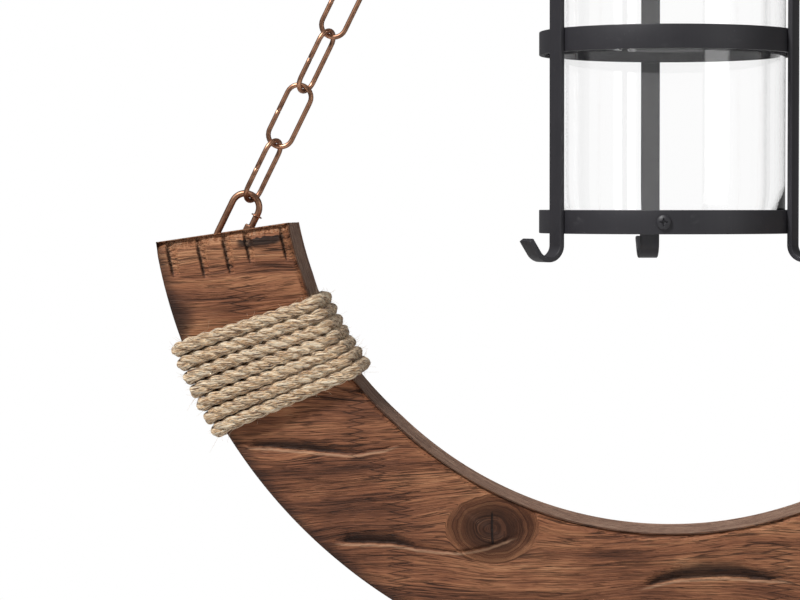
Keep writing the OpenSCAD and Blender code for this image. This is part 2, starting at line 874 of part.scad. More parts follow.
module glass_screw_nuts() {
    color(iron) lantern_place() translate([0, 0, -lower_ring_drop]) on_glass_screws()
        translate([0, 0, -flat_t - m4_nut_h - seat_gap]) hex_nut(m4_nut_af, m4_r, m4_nut_h);
}

module glass_cylinder() {
    color([0.85, 0.9, 0.9, 0.35]) lantern_place() difference() {
        translate([0, 0, -glass_low_drop])
            cylinder(r = glass_r, h = glass_low_drop - glass_top_drop, $fn = 120);
        translate([0, 0, -glass_low_drop - 1])
            cylinder(r = glass_r - glass_wall, h = glass_low_drop, $fn = 120);
    }
}

module cord_gland() {
    rim_h = 3;
    color(plastic) lantern_place() translate(lead_place)
        sleeve(gland_r, bushing_bore_r, -hub_t - gland_nut_h - 0.8, 8, gland_r + 2, 0, rim_h);
}

module gland_nut() {
    color(plastic) lantern_place() translate([lead_place[0], lead_place[1], -hub_t - gland_nut_h])
        hex_nut(gland_nut_af, gland_r, gland_nut_h);
}

module holder_cap() {
    top = -holder_cap_drop;
    low = -holder_body_drop;
    neck = nipple_r + thread_gap;
    r = holder_r;
    w = holder_wall;
    shoulder = top - 9;
    color(iron) lantern_place() rotate_extrude()
        polygon([[neck, top], [neck + 3, top], [r, shoulder], [r, low], [r - w, low],
            [r - w, shoulder - w / 2], [neck + 3 - w / 2, top - w], [neck, top - w]]);
}

// Insulating body: a plug inside the cap and an open cup round the screw shell.
module holder_body() {
    plug_r = holder_r - holder_wall - seat_gap;
    plug_top = 8 - holder_body_drop;
    cup_top = bulb_cap_h + 4;
    color(plastic) lantern_place() difference() {
        union() {
            rod(plug_r, -holder_body_drop, plug_top);
            rod(holder_r, -holder_low, -holder_body_drop);
        }
        rod(shell_r + shell_wall, -holder_low - 1, cup_top - holder_low);
        for (side = [-1, 1])
            translate([side * 10, 0]) rod(1.5, -holder_low, plug_top + 1);
    }
}

module holder_shell() {
    color(brass) lantern_place() difference() {
        rod(shell_r + shell_wall, 1.5 - holder_low, bulb_cap_h + 1 - holder_low);
        rod(shell_r, -holder_low, bulb_cap_h + 2 - holder_low);
    }
}

// Spring tongue that presses on the bulb's tip.
module holder_contact() {
    top = bulb_cap_h + 4 - holder_low;
    color(brass) lantern_place() translate([0, 0, top]) {
        rod(2, -1, 0);
        translate([-4, -2, -1.5]) cube([8, 4, 0.6]);
    }
}

module bulb_cap() {
    color(steel) lantern_place() difference() {
        rod(bulb_cap_r, -holder_low, -bulb_cap_top);
        rod(bulb_cap_r - 0.5, -holder_low - 1, -bulb_cap_top - 0.5);
    }
}

module bulb_contact() {
    tip_h = 2;
    color(plastic) lantern_place() translate([0, 0, -bulb_cap_top]) {
        cylinder(r1 = 9, r2 = 4, h = tip_h - 0.6);
        rod(3.5, tip_h - 0.7, tip_h);
    }
}

module bulb_shape(grow) {
    ball_z = bulb_r - bulb_len - holder_low;
    neck_r = bulb_cap_r - 1.5;
    join = 0.6 * bulb_r;
    neck_low = -holder_low - 0.5;
    translate([0, 0, ball_z]) sphere(bulb_r + grow, $fn = 96);
    translate([0, 0, ball_z + join])
        cylinder(r1 = sqrt(bulb_r * bulb_r - join * join) + grow, r2 = neck_r + grow,
            h = neck_low - ball_z - join, $fn = 96);
    translate([0, 0, neck_low - eps]) cylinder(r = neck_r + grow, h = 6, $fn = 96);
}

module bulb_glass() {
    color([0.95, 0.95, 0.9, 0.3]) lantern_place() difference() {
        bulb_shape(0);
        bulb_shape(-0.8);
        rod(bulb_cap_r - 3, -holder_low, 8 - holder_low);
    }
}

module bulb_filament() {
    stem_top = 4 - holder_low;
    stem_low = -holder_low - bulb_len / 3;
    color("orange") lantern_place() {
        difference() {
            rod(bulb_cap_r - 2.5, stem_top - 1, stem_top);
            rod(1, stem_top - 2, stem_top + 1);
        }
        rod(3, stem_low, stem_top - 1);
        for (k = [0 : 3])
            rotate(45 + 90 * k) translate([2.6, 0, stem_low + 1]) rotate([0, 168, 0]) rod(0.9, 0, 34);
    }
}

ceiling_plate();
ceiling_hook();
hook_lock_nut();
canopy();
canopy_nut();
terminal_block();
terminal_screws();
block_screws();
earth_screw();
canopy_bushing();
master_ring();
chain_left();
chain_right();
quick_link_left();
quick_link_right();
link_nut_left();
link_nut_right();
screw_eye_left();
screw_eye_right();
wheel_rim();
rope_binding_left();
rope_binding_right();
lantern_chain();
lantern_loop();
lantern_nipple();
hub_lock_nut();
lantern_hub();
lantern_bar_rear();
lantern_bar_left();
lantern_bar_right();
lower_ring();
upper_ring();
top_ring();
hub_screws();
hub_nuts();
glass_screws();
glass_screw_nuts();
glass_cylinder();
cord_gland();
gland_nut();
holder_cap();
holder_body();
holder_shell();
holder_contact();
bulb_glass();
bulb_cap();
bulb_contact();
bulb_filament();
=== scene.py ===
"""Looks of the half wagon wheel chandelier, built around its CAD frame.

The sizes that pieces share with the frame are in millimetres and are turned into metres when a mesh
is made. A place "on the wheel" is measured from the middle of the rim's outer circle.
"""

import math

import bmesh
import bpy
import numpy as np
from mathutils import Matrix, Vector


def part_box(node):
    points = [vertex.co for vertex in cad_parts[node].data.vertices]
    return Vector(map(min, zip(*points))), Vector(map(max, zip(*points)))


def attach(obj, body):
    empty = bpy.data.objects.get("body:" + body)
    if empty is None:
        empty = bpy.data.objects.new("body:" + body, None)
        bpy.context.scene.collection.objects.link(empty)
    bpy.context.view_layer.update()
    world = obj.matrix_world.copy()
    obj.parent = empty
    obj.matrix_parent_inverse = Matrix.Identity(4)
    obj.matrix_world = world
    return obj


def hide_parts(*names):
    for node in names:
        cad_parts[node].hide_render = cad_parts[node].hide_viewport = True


bl_info = {
    "name": "Half wagon wheel chandelier",
    "version": (1, 0, 0),
    "blender": (4, 5, 0),
    "location": "View3D > Sidebar > Chandelier",
    "description": "Builds the rim, ropes, chains, lantern and stage around the CAD frame",
    "category": "Object",
}

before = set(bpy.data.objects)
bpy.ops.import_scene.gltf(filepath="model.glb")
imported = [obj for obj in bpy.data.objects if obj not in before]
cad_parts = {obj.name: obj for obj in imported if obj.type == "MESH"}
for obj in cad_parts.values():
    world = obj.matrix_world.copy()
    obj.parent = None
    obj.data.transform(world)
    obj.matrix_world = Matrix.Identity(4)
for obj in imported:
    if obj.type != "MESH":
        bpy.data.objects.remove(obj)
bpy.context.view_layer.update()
MM = 0.001


def node_box(node):
    """Lowest and highest corner of a CAD node, in millimetres."""
    return [np.array(corner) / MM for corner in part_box(node)]


# Heights and directions that the CAD nodes carry.
RING_BOX = node_box("master_ring")
RIM_BOX = node_box("wheel_rim")
HUB_TOP = node_box("lantern_hub")[1][2]
RING_Z = (RING_BOX[0][2] + RING_BOX[1][2]) / 2
CHAIN_ANGLE = math.radians(26.22552)
BAR_AZIMUTHS = [98.5, 214.5, 337.0]
SCREW_AZIMUTHS = [268.0, 28.0, 148.0]
SIDES = {"left": 1, "right": -1}


class Val:
    """A number socket of a material. Arithmetic on it adds Math nodes."""

    def __init__(self, paint, socket):
        self.paint = paint
        self.socket = socket

    def math(self, operation, *values):
        return self.paint.math(operation, self, *values)

    def __add__(self, other):
        return self.math("ADD", other)

    def __mul__(self, other):
        return self.math("MULTIPLY", other)

    def __sub__(self, other):
        return self.math("SUBTRACT", other)

    def __rsub__(self, other):
        return self.paint.math("SUBTRACT", other, self)

    def __truediv__(self, other):
        return self.math("DIVIDE", other)

    def __pow__(self, other):
        return self.math("POWER", other)

    __radd__ = __add__
    __rmul__ = __mul__

    def band(self, low, high, start=0.0, end=1.0):
        """Goes smoothly from start to end as the value goes from low to high."""
        node = self.paint.node(
            "ShaderNodeMapRange",
            {"interpolation_type": "SMOOTHSTEP"},
            {0: self, 1: low, 2: high, 3: start, 4: end},
        )
        return Val(self.paint, node.outputs[0])


class Paint:
    """The nodes of one finish around its Principled shader."""

    def __init__(self, name, **constants):
        self.material = bpy.data.materials.new(name)
        self.material.use_nodes = True
        self.tree = self.material.node_tree
        self.shader = self.tree.nodes["Principled BSDF"]
        for socket, value in constants.items():
            self.shader.inputs[socket.replace("_", " ")].default_value = value
        self.place = self.node("ShaderNodeTexCoord").outputs["Object"]

    def node(self, kind, settings=None, inputs=None):
        """A node with its settings, then with the values or links of its sockets."""
        node = self.tree.nodes.new(kind)
        for name, value in (settings or {}).items():
            if name == "stops":
                ramp = node.color_ramp
                while len(ramp.elements) < len(value):
                    ramp.elements.new(0.5)
                for element, (position, colour) in zip(ramp.elements, value):
                    element.position = position
                    element.color = (*colour, 1.0)
            else:
                setattr(node, name, value)
        for key, value in (inputs or {}).items():
            value = value.socket if isinstance(value, Val) else value
            if isinstance(value, bpy.types.NodeSocket):
                self.tree.links.new(value, node.inputs[key])
            else:
                node.inputs[key].default_value = value
        return node

    def math(self, operation, *values):
        node = self.node("ShaderNodeMath", {"operation": operation}, dict(enumerate(values)))
        return Val(self, node.outputs[0])

    def stretched(self, vector, factors):
        inputs = {0: vector, 1: factors}
        return self.node("ShaderNodeVectorMath", {"operation": "MULTIPLY"}, inputs).outputs[0]

    def millimetres(self):
        """The three coordinates of a place on the object, in millimetres."""
        return self.parts(self.stretched(self.place, (1 / MM, 1 / MM, 1 / MM)))

    def parts(self, vector):
        outputs = self.node("ShaderNodeSeparateXYZ", None, {0: vector}).outputs
        return [Val(self, output) for output in outputs]

    def vector(self, x, y, z):
        return self.node("ShaderNodeCombineXYZ", None, {0: x, 1: y, 2: z}).outputs[0]

    def marks(self, name):
        """The three numbers that a mesh keeps at its points under that name."""
        node = self.node("ShaderNodeAttribute", {"attribute_name": name})
        return node.outputs["Vector"]

    def noise(self, at, scale, detail=2.0, roughness=0.5, distortion=0.0):
        inputs = {"Vector": at, "Scale": scale, "Detail": detail, "Roughness": roughness}
        inputs["Distortion"] = distortion
        return Val(self, self.node("ShaderNodeTexNoise", None, inputs).outputs[0])

    def veins(self, place, *shape):
        """Noise at a place that is given by its three numbers."""
        return self.noise(self.vector(*place), 1.0, *shape)

    def cells(self, at, scale):
        node = self.node("ShaderNodeTexVoronoi", None, {"Vector": at, "Scale": scale})
        return Val(self, node.outputs["Distance"])

    def ramp(self, value, *stops):
        return self.node("ShaderNodeValToRGB", {"stops": stops}, {0: value}).outputs[0]

    def mix(self, factor, a, b):
        """Colour a turning into colour b."""
        colours = [c if isinstance(c, bpy.types.NodeSocket) else (*c, 1.0) for c in (a, b)]
        inputs = {0: factor, 6: colours[0], 7: colours[1]}
        return self.node("ShaderNodeMix", {"data_type": "RGBA"}, inputs).outputs[2]

    def shade(self, colour, value):
        """The colour made lighter or darker by a number."""
        inputs = {0: colour, "Scale": value}
        return self.node("ShaderNodeVectorMath", {"operation": "SCALE"}, inputs).outputs[0]

    def feed(self, **sockets):
        for name, value in sockets.items():
            value = value.socket if isinstance(value, Val) else value
            self.tree.links.new(value, self.shader.inputs[name.replace("_", " ")])
        return self

    def bump(self, height, depth, strength=1.0):
        """Relief of a height from 0 to 1 that stands for that many metres."""
        inputs = {"Height": height, "Distance": depth, "Strength": strength}
        return self.feed(Normal=self.node("ShaderNodeBump", None, inputs).outputs[0])


def srgb(red, green, blue):
    """A colour as the eye reads it, from 0 to 255, turned into the shader's linear numbers."""

    def linear(c):
        return c / 12.92 if c <= 0.04045 else ((c + 0.055) / 1.055) ** 2.4

    return tuple(linear(c / 255) for c in (red, green, blue))


def piece(name, points, faces, paint, body, *nodes, slot=None, smooth=True, marks=None):
    """A mesh from points in millimetres that rides a body and stands for CAD nodes."""
    mesh = bpy.data.meshes.new(name)
    faces = [[int(i) for i in face] for face in faces]
    mesh.from_pydata((np.asarray(points, float) * MM).tolist(), [], faces)
    for key, values in (marks or {}).items():
        attribute = mesh.attributes.new(key, "FLOAT_VECTOR", "POINT")
        attribute.data.foreach_set("vector", np.asarray(values, np.float32).ravel())
    mesh.polygons.foreach_set("use_smooth", [smooth] * len(mesh.polygons))
    mesh.validate()
    skin = bmesh.new()
    skin.from_mesh(mesh)
    bmesh.ops.recalc_face_normals(skin, faces=skin.faces)
    skin.to_mesh(mesh)
    skin.free()
    mesh.update()
    obj = bpy.data.objects.new(name, mesh)
    bpy.context.scene.collection.objects.link(obj)
    obj.data.materials.append(paint.material)
    if body is None:
        return obj
    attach(obj, body)
    if nodes:
        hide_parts(*nodes)
    return obj


def joined(*parts):
    """Several (points, faces) as one."""
    points, faces, start = [], [], 0
    for part_points, part_faces in parts:
        points.append(np.asarray(part_points, float))
        faces += [[i + start for i in face] for face in part_faces]
        start += len(part_points)
    return np.concatenate(points), faces


def unit(vectors):
    """Vectors of length 1."""
    return vectors / np.linalg.norm(vectors, axis=-1, keepdims=True)


def polar(radius, angle):
    """Points of a plane at those radii and angles."""
    return np.stack([radius * np.cos(angle), radius * np.sin(angle)], -1)


def full_turn(count):
    """Evenly spaced angles round a circle."""
    return np.arange(count) * 2 * math.pi / count


def circle(radius, count):
    return polar(radius, full_turn(count))


def arc(centre, radius, start, end, steps):
    """Points of an arc in a plane, with angles in degrees."""
    return np.asarray(centre) + polar(radius, np.radians(np.linspace(start, end, steps + 1)))


def standing(flat):
    """Points of the XZ plane as points in space."""
    flat = np.asarray(flat, float)
    return np.stack([flat[:, 0], np.zeros(len(flat)), flat[:, 1]], 1)


def spin(points, degrees, axis="z"):
    """Points turned about an axis through the origin."""
    a = math.radians(degrees)
    i, j = {"y": (2, 0), "z": (0, 1)}[axis]
    turned = np.array(points, float)
    turned[..., i] = points[..., i] * math.cos(a) - points[..., j] * math.sin(a)
    turned[..., j] = points[..., i] * math.sin(a) + points[..., j] * math.cos(a)
    return turned


def tangents(path, closed):
    if closed:
        along = np.roll(path, -1, 0) - np.roll(path, 1, 0)
    else:
        along = np.gradient(path, axis=0)
    return unit(along)


def carried_normals(along, closed):
    """Normals that turn as little as they can along a path."""
    guess = np.eye(3)[np.argmin(np.abs(along[0]))]
    normal = np.cross(along[0], guess)
    normals = []
    for t in along:
        normal = unit(normal - t * (normal @ t))
        normals.append(normal)
    normals = np.array(normals)
    if closed:
        side = np.cross(along[0], normals[0])
        drift = math.atan2(normals[-1] @ side, normals[-1] @ normals[0])
        turn = -np.linspace(0, drift, len(along))[:, None]
        normals = normals * np.cos(turn) + np.cross(along, normals) * np.sin(turn)
    return normals


def band_faces(rings, sides, closed=False):
    """Quads between neighbouring rings, and from the last ring to the first if closed."""
    faces = []
    for i in range(rings if closed else rings - 1):
        a, b = i * sides, (i + 1) % rings * sides
        faces += [(a + j, a + (j + 1) % sides, b + (j + 1) % sides, b + j) for j in range(sides)]
    return faces


def sweep(path, section, closed=False, up=None, growth=None):
    """A section carried along a path: its first axis runs beside the path, its second along up."""
    path = np.asarray(path, float)
    along = tangents(path, closed)
    if up is None:
        normals = carried_normals(along, closed)
    else:
        normals = np.broadcast_to(np.asarray(up, float), along.shape)
        normals = unit(normals - along * np.sum(normals * along, 1)[:, None])
    beside = np.cross(along, normals)
    growth = np.ones(len(path)) if growth is None else np.asarray(growth)
    offsets = section[None] * growth[:, None, None]
    points = path[:, None] + offsets[..., :1] * beside[:, None]
    points = points + offsets[..., 1:] * normals[:, None]
    rings, count = len(path), len(section)
    faces = band_faces(rings, count, closed)
    if not closed:
        faces.append(list(range(count))[::-1])
        faces.append([(rings - 1) * count + j for j in range(count)])
    return points.reshape(-1, 3), faces


def rounded_wire(path, radius, sides=14, edge=0.25):
    """A wire with a small chamfer at its two cut ends."""
    along = tangents(np.asarray(path, float), False)
    first = path[0] - along[0] * 0.01
    last = path[-1] + along[-1] * 0.01
    inner = (path[0] + along[0] * edge, path[-1] - along[-1] * edge)
    path = np.concatenate([[first], [inner[0]], path[1:-1], [inner[1]], [last]])
    growth = np.ones(len(path))
    growth[0] = growth[-1] = 1 - edge / radius
    return sweep(path, circle(radius, sides), growth=growth)


def rings_of(rows, sides):
    """Rings of points about Z. Each row is a radius, or one radius for each point, and a height."""
    angles = full_turn(sides)
    return np.concatenate([
        np.column_stack([polar(radius, angles), np.full(sides, height)]) for radius, height in rows
    ])


def lathe(profile, sides=64):
    """A profile of (radius, height) points turned about Z. A radius of 0 closes an end."""
    return rings_of(profile, sides), band_faces(len(profile), sides)


def moved_rows(rows, z):
    """Rows of a profile whose heights are measured from z."""
    return [(radius, z + height) for radius, height in rows]


def ring_lathe(profile, sides):
    """A closed profile turned about Z: its last point is its first."""
    points, _ = lathe(profile[:-1], sides)
    return points, band_faces(len(profile) - 1, sides, closed=True)


def hexagon(across_flats, bore, low, high, chamfer=0.4, sides=36):
    """A hexagon nut about Z with chamfered corners and a bore."""
    corner = across_flats / math.sqrt(3)
    angles = full_turn(sides)
    flat = across_flats / 2 / np.cos((angles + math.pi / 6) % (math.pi / 3) - math.pi / 6)
    trimmed = np.minimum(flat, across_flats / 2 + 0.02)
    body = np.minimum(flat, corner - 0.05)
    rows = [
        (bore, low + 0.2), (bore + 0.25, low), (trimmed - 0.1, low), (body, low + chamfer),
        (body, high - chamfer), (trimmed - 0.1, high), (bore + 0.25, high), (bore, high - 0.2),
        (bore, low + 0.2),
    ]
    return rings_of(rows, sides), band_faces(len(rows), sides)


def helix(radius, start, end, turns, steps, section):
    """The ridge of a thread about Z, from one height to the other."""
    share = np.linspace(0, 1, steps)
    line = polar(radius, share * 2 * math.pi * turns)
    return sweep(np.column_stack([line, start + share * (end - start)]), section)


# Rim: the outer and inner circle and the cut ends, on the wheel.
RIM_OUTER_R = 310.0
WHEEL_Z = RIM_BOX[0][2] + RIM_OUTER_R
RIM_INNER_R = 235.0
RIM_INNER_RISE = 13.0
RIM_HALF = 25.0
END_ANGLE = 9.2
END_SLOPE = 8.2
END_CORNER = -polar(RIM_OUTER_R, math.radians(END_ANGLE))
END_DIR = polar(1.0, math.radians(END_SLOPE))
END_NORMAL = np.array([-END_DIR[1], END_DIR[0]])
END_LENGTH = 77.52
POCKET_SHARE = (np.array([-11.5, 25.5]) + END_LENGTH / 2) / END_LENGTH
POCKET_HALF = 9.0
POCKET_DEPTH = 24.5
RIM_RUN = 877.2
END_COLUMNS = 80
END_COLUMN_STEP = 0.45
MIDDLE_COLUMNS = 440

# How far the inner side stands out of its circle, by the run from the nearer cut end.
BULGE_RUNS = [0, 45, 95, 135, 190]
BULGES = [3.2, 2.4, 0, -1.4, 0]

# Chisel cuts beside an end: place along it, width and length.
CUTS = [
    (5.6, 7.6, 22.5), (23.8, 6.4, 26.0), (39.4, 6.2, 25.5), (52.6, 5.8, 21.0), (74.4, 4.0, 22.4),
]
CUT_LEAN = math.tan(math.radians(4.7))
CUT_DEPTH = 4.0
END_BEVEL = 6.6

# Hewn gouges of the front face: points along the sharp lower lip, as (x, height) on the wheel in
# millimetres, each with the height of the scooped face above it there.
GOUGES = [
    [(-257.4, -167.1, 1), (-249.2, -171.2, 4), (-228.4, -172.2, 6.1), (-209.4, -174.0, 5.7),
     (-190.4, -175.4, 3.2), (-182.9, -175.0, 1.9), (-167.7, -172.2, 1.2), (-154.5, -167.4, 0.5)],
    [(-203.8, -228.1, 0.5), (-190, -228.4, 6), (-184.8, -228.5, 6.4), (-163.9, -229.0, 6.6),
     (-148.8, -231.4, 3), (-133.6, -233.2, 1.2), (-120.3, -233.2, 1.2), (-108.9, -230.9, 1.6),
     (-95.7, -226.2, 1.6), (-84.3, -221.5, 0.5)],
    [(-21.7, -255.6, 0.5), (-6.5, -251.2, 5.7), (6.7, -248.6, 7.2), (19.0, -247.5, 9.9),
     (40, -247, 9), (62, -248.5, 4), (80, -249, 0.6)],
    [(108, -228, 0.5), (128, -231, 6), (150, -236, 8), (171, -234, 4), (190, -228, 1)],
    [(160, -176, 0.5), (180, -180, 5), (205, -182, 7), (226, -177, 3), (243, -172, 0.6)],
]
GOUGE_DEPTH = 4.0


def cut_end_parameters():
    """Angles of the left end's two corners, each about the centre of its own circle."""
    inner = END_CORNER + END_DIR * END_LENGTH - np.array([0, RIM_INNER_RISE])
    return (
        math.degrees(math.atan2(END_CORNER[1], END_CORNER[0])) % 360,
        math.degrees(math.atan2(inner[1], inner[0])) % 360,
    )


def fibre(seed, *coordinates):
    """Smooth made-up unevenness, from -1 to 1, of numbers along a surface."""
    rng = np.random.default_rng(seed)
    total = 0
    for octave in range(5):
        waves = 0
        for _ in range(4):
            turn = sum(
                c * rng.uniform(0.6, 1.4) * rng.choice([-1, 1]) * 1.9**octave for c in coordinates
            )
            waves = waves + np.sin(turn + rng.uniform(0, 6.28))
        total = total + waves * 0.25 * 0.62**octave
    return total / 1.6


def gouge_relief(x, z):
    """Depth of the gouges, and where their lips get a painted highlight, at places on the wheel."""
    depth, lip = np.zeros_like(x), np.zeros_like(x)
    for line in GOUGES:
        line = np.array(line)
        reach = np.interp(x, line[:, 0], line[:, 2], left=0, right=0)
        low = np.interp(x, line[:, 0], line[:, 1]) + 0.5 * fibre(5, x * 0.25)
        above = z - low
        inside = np.clip(np.minimum(x - line[0, 0], line[-1, 0] - x) / 12, 0, 1)
        scoop = np.clip(1 - above / np.maximum(reach * 1.25, 0.1), 0, 1) ** 0.95
        scoop = scoop * (above >= 0)
        rise = np.clip(1 + above / 1.3, 0, 1) ** 1.5 * (above < 0)
        here = np.clip(reach / 7, 0.28, 1) * inside
        depth = np.maximum(depth, GOUGE_DEPTH * here * (scoop + rise))
        # The band just under each gouge's lip gets a painted highlight.
        lip = np.maximum(lip, inside * np.exp(-(((above + 1.6) / 1.0) ** 2)))
    return depth, lip


def end_places(x, z):
    """Places along a cut end from its outer corner, and into the wood, of places on the wheel."""
    left_x = -np.abs(x)
    along = (left_x - END_CORNER[0]) * END_DIR[0] + (z - END_CORNER[1]) * END_DIR[1]
    inward = -((left_x - END_CORNER[0]) * END_NORMAL[0] + (z - END_CORNER[1]) * END_NORMAL[1])
    return along, inward


def cut_relief(x, z):
    """Depth of the chisel cuts beside each end, the painted shade on their steep wall and torn
    edges, and their floor, which gets a painted highlight.
    """
    depth, wall, floor = np.zeros_like(x), np.zeros_like(x), np.zeros_like(x)
    along, inward = end_places(x, z)
    for k, (start, width, length) in enumerate(CUTS):
        across = along - start - inward * CUT_LEAN - 0.3 * fibre(k, inward * 1.1)
        ragged = 0.7 * fibre(30 + k, inward * 1.6)
        reach = width * (1 - 0.35 * inward / length) + ragged
        steep = np.clip((across + 0.3) / 0.7, 0, 1)
        ramp = np.clip((reach - across) / np.maximum(reach, 0.5), 0, 1)
        fade = np.clip((length - inward) / 4, 0, 1) ** 0.7 * (1 - 0.35 * inward / length)
        torn = 1 + 0.35 * fibre(60 + k, inward * 1.4, across * 0.3)
        here = steep * ramp**0.7 * fade
        depth = np.maximum(depth, CUT_DEPTH * here * torn)
        # Painted shade: the steep wall of each cut and its torn edges are darkened.
        dark = np.exp(-(((across - 0.45) / (0.55 + 0.4 * fade)) ** 2)) * (fade > 0) * fade**0.4
        torn_edge_shade = np.clip(fibre(33 + k, inward * 2.1, across * 1.3) * 2 - 0.3, 0, 1)
        dark = np.maximum(dark, torn_edge_shade * here**0.3 * 0.8)
        wall = np.maximum(wall, dark * (inward > 0))
        # The floor of each cut gets a painted highlight.
        floor = np.maximum(floor, here * (0.7 + 0.5 * fibre(75 + k, inward * 1.9, across)))
    return depth, wall, np.clip(floor, 0, 1)


def end_bevel(x, z):
    """Worn bevel along the front edge of each cut end: depth, and where its end grain shows."""
    along, inward = end_places(x, z)
    width = END_BEVEL * (1 + 0.28 * fibre(91, along * 0.12) + 0.1 * fibre(92, along * 0.9))
    wear_and_highlight = np.clip(1 - inward / width, 0, 1)
    corner = np.clip(1 - along / 5, 0, 1) * np.clip(1 - inward / 9, 0, 1)
    return 3.4 * wear_and_highlight**1.1 + 2.5 * corner, np.clip(wear_and_highlight * 2.6, 0, 1)


def every(step, count):
    """Every so many numbers below count, and the last one."""
    return np.unique(np.append(np.arange(0, count, step), count - 1))


def on_wheel(points, side=1):
    """Carries points of the left half from the wheel's frame to a side."""
    return (points + [0, 0, WHEEL_Z]) * [side, 1, 1]


def edge_wear(run, rows):
    """Depth that the front face loses along its inner and outer edge."""
    chip = np.clip(fibre(11, run * 0.11, np.zeros((len(run), len(rows)))) - 0.15, 0, 1)
    from_inner = (1 - rows) * END_LENGTH
    from_outer = rows * END_LENGTH
    hewn = 3.2 + 1.4 * fibre(3, run * 0.05) + 0.5 * fibre(4, run * 0.6)
    edge = 3.5 * np.clip(1 - from_inner / hewn, 0, 1) * 0.8
    edge = edge + chip * 1.6 * np.clip(1 - from_inner / 9, 0, 1)
    edge = edge + 1.2 * np.clip(1 - from_outer / (1.4 + 0.5 * fibre(8, run * 0.2)), 0, 1)
    return edge


def rim_samples():
    """Shares along the run and across it, and depths, all closer together where it is cut."""
    ends = np.cumsum(np.full(END_COLUMNS, END_COLUMN_STEP))
    middle = np.linspace(ends[-1] + 2 * END_COLUMN_STEP, RIM_RUN / 2, MIDDLE_COLUMNS)
    half = np.concatenate([[0], ends, middle]) / RIM_RUN
    share = np.concatenate([half, 1 - half[-2::-1]])
    low, high = POCKET_SHARE
    rows = np.concatenate([
        [0, 0.006, 0.013],
        np.linspace(0.02, low, 48),
        np.linspace(low, high, 70)[1:],
        np.linspace(high, 0.97, 24)[1:], [0.977, 0.984, 0.992, 1],
    ])
    depths = np.concatenate([
        [-25, -24, -22.6],
        np.linspace(-20, -POCKET_HALF, 7),
        np.linspace(-POCKET_HALF, POCKET_HALF, 9)[1:],
        np.linspace(POCKET_HALF, 20, 6)[1:], [23, 25],
    ])
    return share, rows, depths


def rim_surface():
    """Points, faces and marks of the hewn rim."""
    outer_angle, inner_angle = cut_end_parameters()
    share, rows, depths = rim_samples()
    a = np.radians(outer_angle + (540 - 2 * outer_angle) * share)
    b = np.radians(inner_angle + (540 - 2 * inner_angle) * share)
    outer = polar(RIM_OUTER_R, a)
    bulge = np.interp(np.minimum(share, 1 - share) * RIM_RUN, BULGE_RUNS, BULGES)
    inner = polar(RIM_INNER_R - bulge, b) + [0, RIM_INNER_RISE]
    columns, count = len(share), len(rows)
    flat = outer[:, None] + (inner - outer)[:, None] * rows[None, :, None]
    x, z = flat[..., 0], flat[..., 1]
    run = (share * RIM_RUN)[:, None]
    gouge, lip = gouge_relief(x, z)
    cut, wall, floor = cut_relief(x, z)
    bevel, end_wood = end_bevel(x, z)
    edge = edge_wear(run, rows)
    hand = 0.25 * fibre(20, x * 0.045, z * 0.06) + 0.06 * fibre(21, z * 1.5, x * 0.05)
    relief = np.maximum(gouge + cut + hand, bevel) + edge + 0.25
    points, marks = [], []

    def grid(flat_points, y, mark):
        start = len(np.concatenate(points)) if points else 0
        points.append(np.stack([flat_points[..., 0], y, flat_points[..., 1]], -1).reshape(-1, 3))
        marks.append(np.stack(np.broadcast_arrays(*mark, y), -1)[..., :3].reshape(-1, 3))
        return start + np.arange(y.size).reshape(y.shape)

    def quads(index, flip=False):
        q = np.stack([index[:-1, :-1], index[:-1, 1:], index[1:, 1:], index[1:, :-1]], -1)
        q = q.reshape(-1, 4)
        return (q[:, ::-1] if flip else q).tolist()

    # Painted shade in the gouge hollows and on the cut walls, and a painted highlight on the gouge
    # lips and cut floors, kept as marks for the wood's colour.
    hollow_shade = np.clip(gouge / GOUGE_DEPTH * 1.35, 0, 1) * (1 - lip)
    shadow = np.maximum(hollow_shade, wall)
    bright = np.maximum(lip * 0.9, floor * 0.85)
    front_marks = (shadow * (1 - end_wood * 0.6), bright, end_wood * 2.0)
    front = grid(flat, -RIM_HALF + relief, front_marks)
    few_columns, few_rows = every(5, columns), every(6, count)
    coarse = flat[few_columns][:, few_rows]
    behind = RIM_HALF - 0.3 - 0.25 * fibre(22, x * 0.04, z * 0.05)
    back = grid(coarse, behind[few_columns][:, few_rows], (0.0, 0.0, 0.0))
    faces = quads(front) + quads(back, True)
    inner_cut = depths[1:]
    for index, radius, centre, angle, flip in (
        (0, np.full(columns, RIM_OUTER_R), (0, 0), a, False),
        (-1, RIM_INNER_R - bulge, (0, RIM_INNER_RISE), b, True),
    ):
        wear = 0.35 * fibre(40 + index, run * 0.06, inner_cut[None] * 0.25)
        wear = wear + 0.18 * fibre(42 + index, run * 0.03, inner_cut[None] * 1.6) - 0.5
        wear = wear * (inner_cut < RIM_HALF)
        sink = radius[:, None] + (wear if index == 0 else -wear)
        around = polar(sink, angle[:, None]) + np.array(centre)
        level = np.broadcast_to(inner_cut[None], sink.shape).copy()
        level[:, -1] = behind[:, index]
        side = grid(around, level, (0.0, 0.0, 0.0 if index == 0 else -1.0))
        strip = np.concatenate([front[:, index][:, None], side], 1)
        faces += quads(strip, not flip)
    return points, marks, faces, (front, behind, rows, depths)


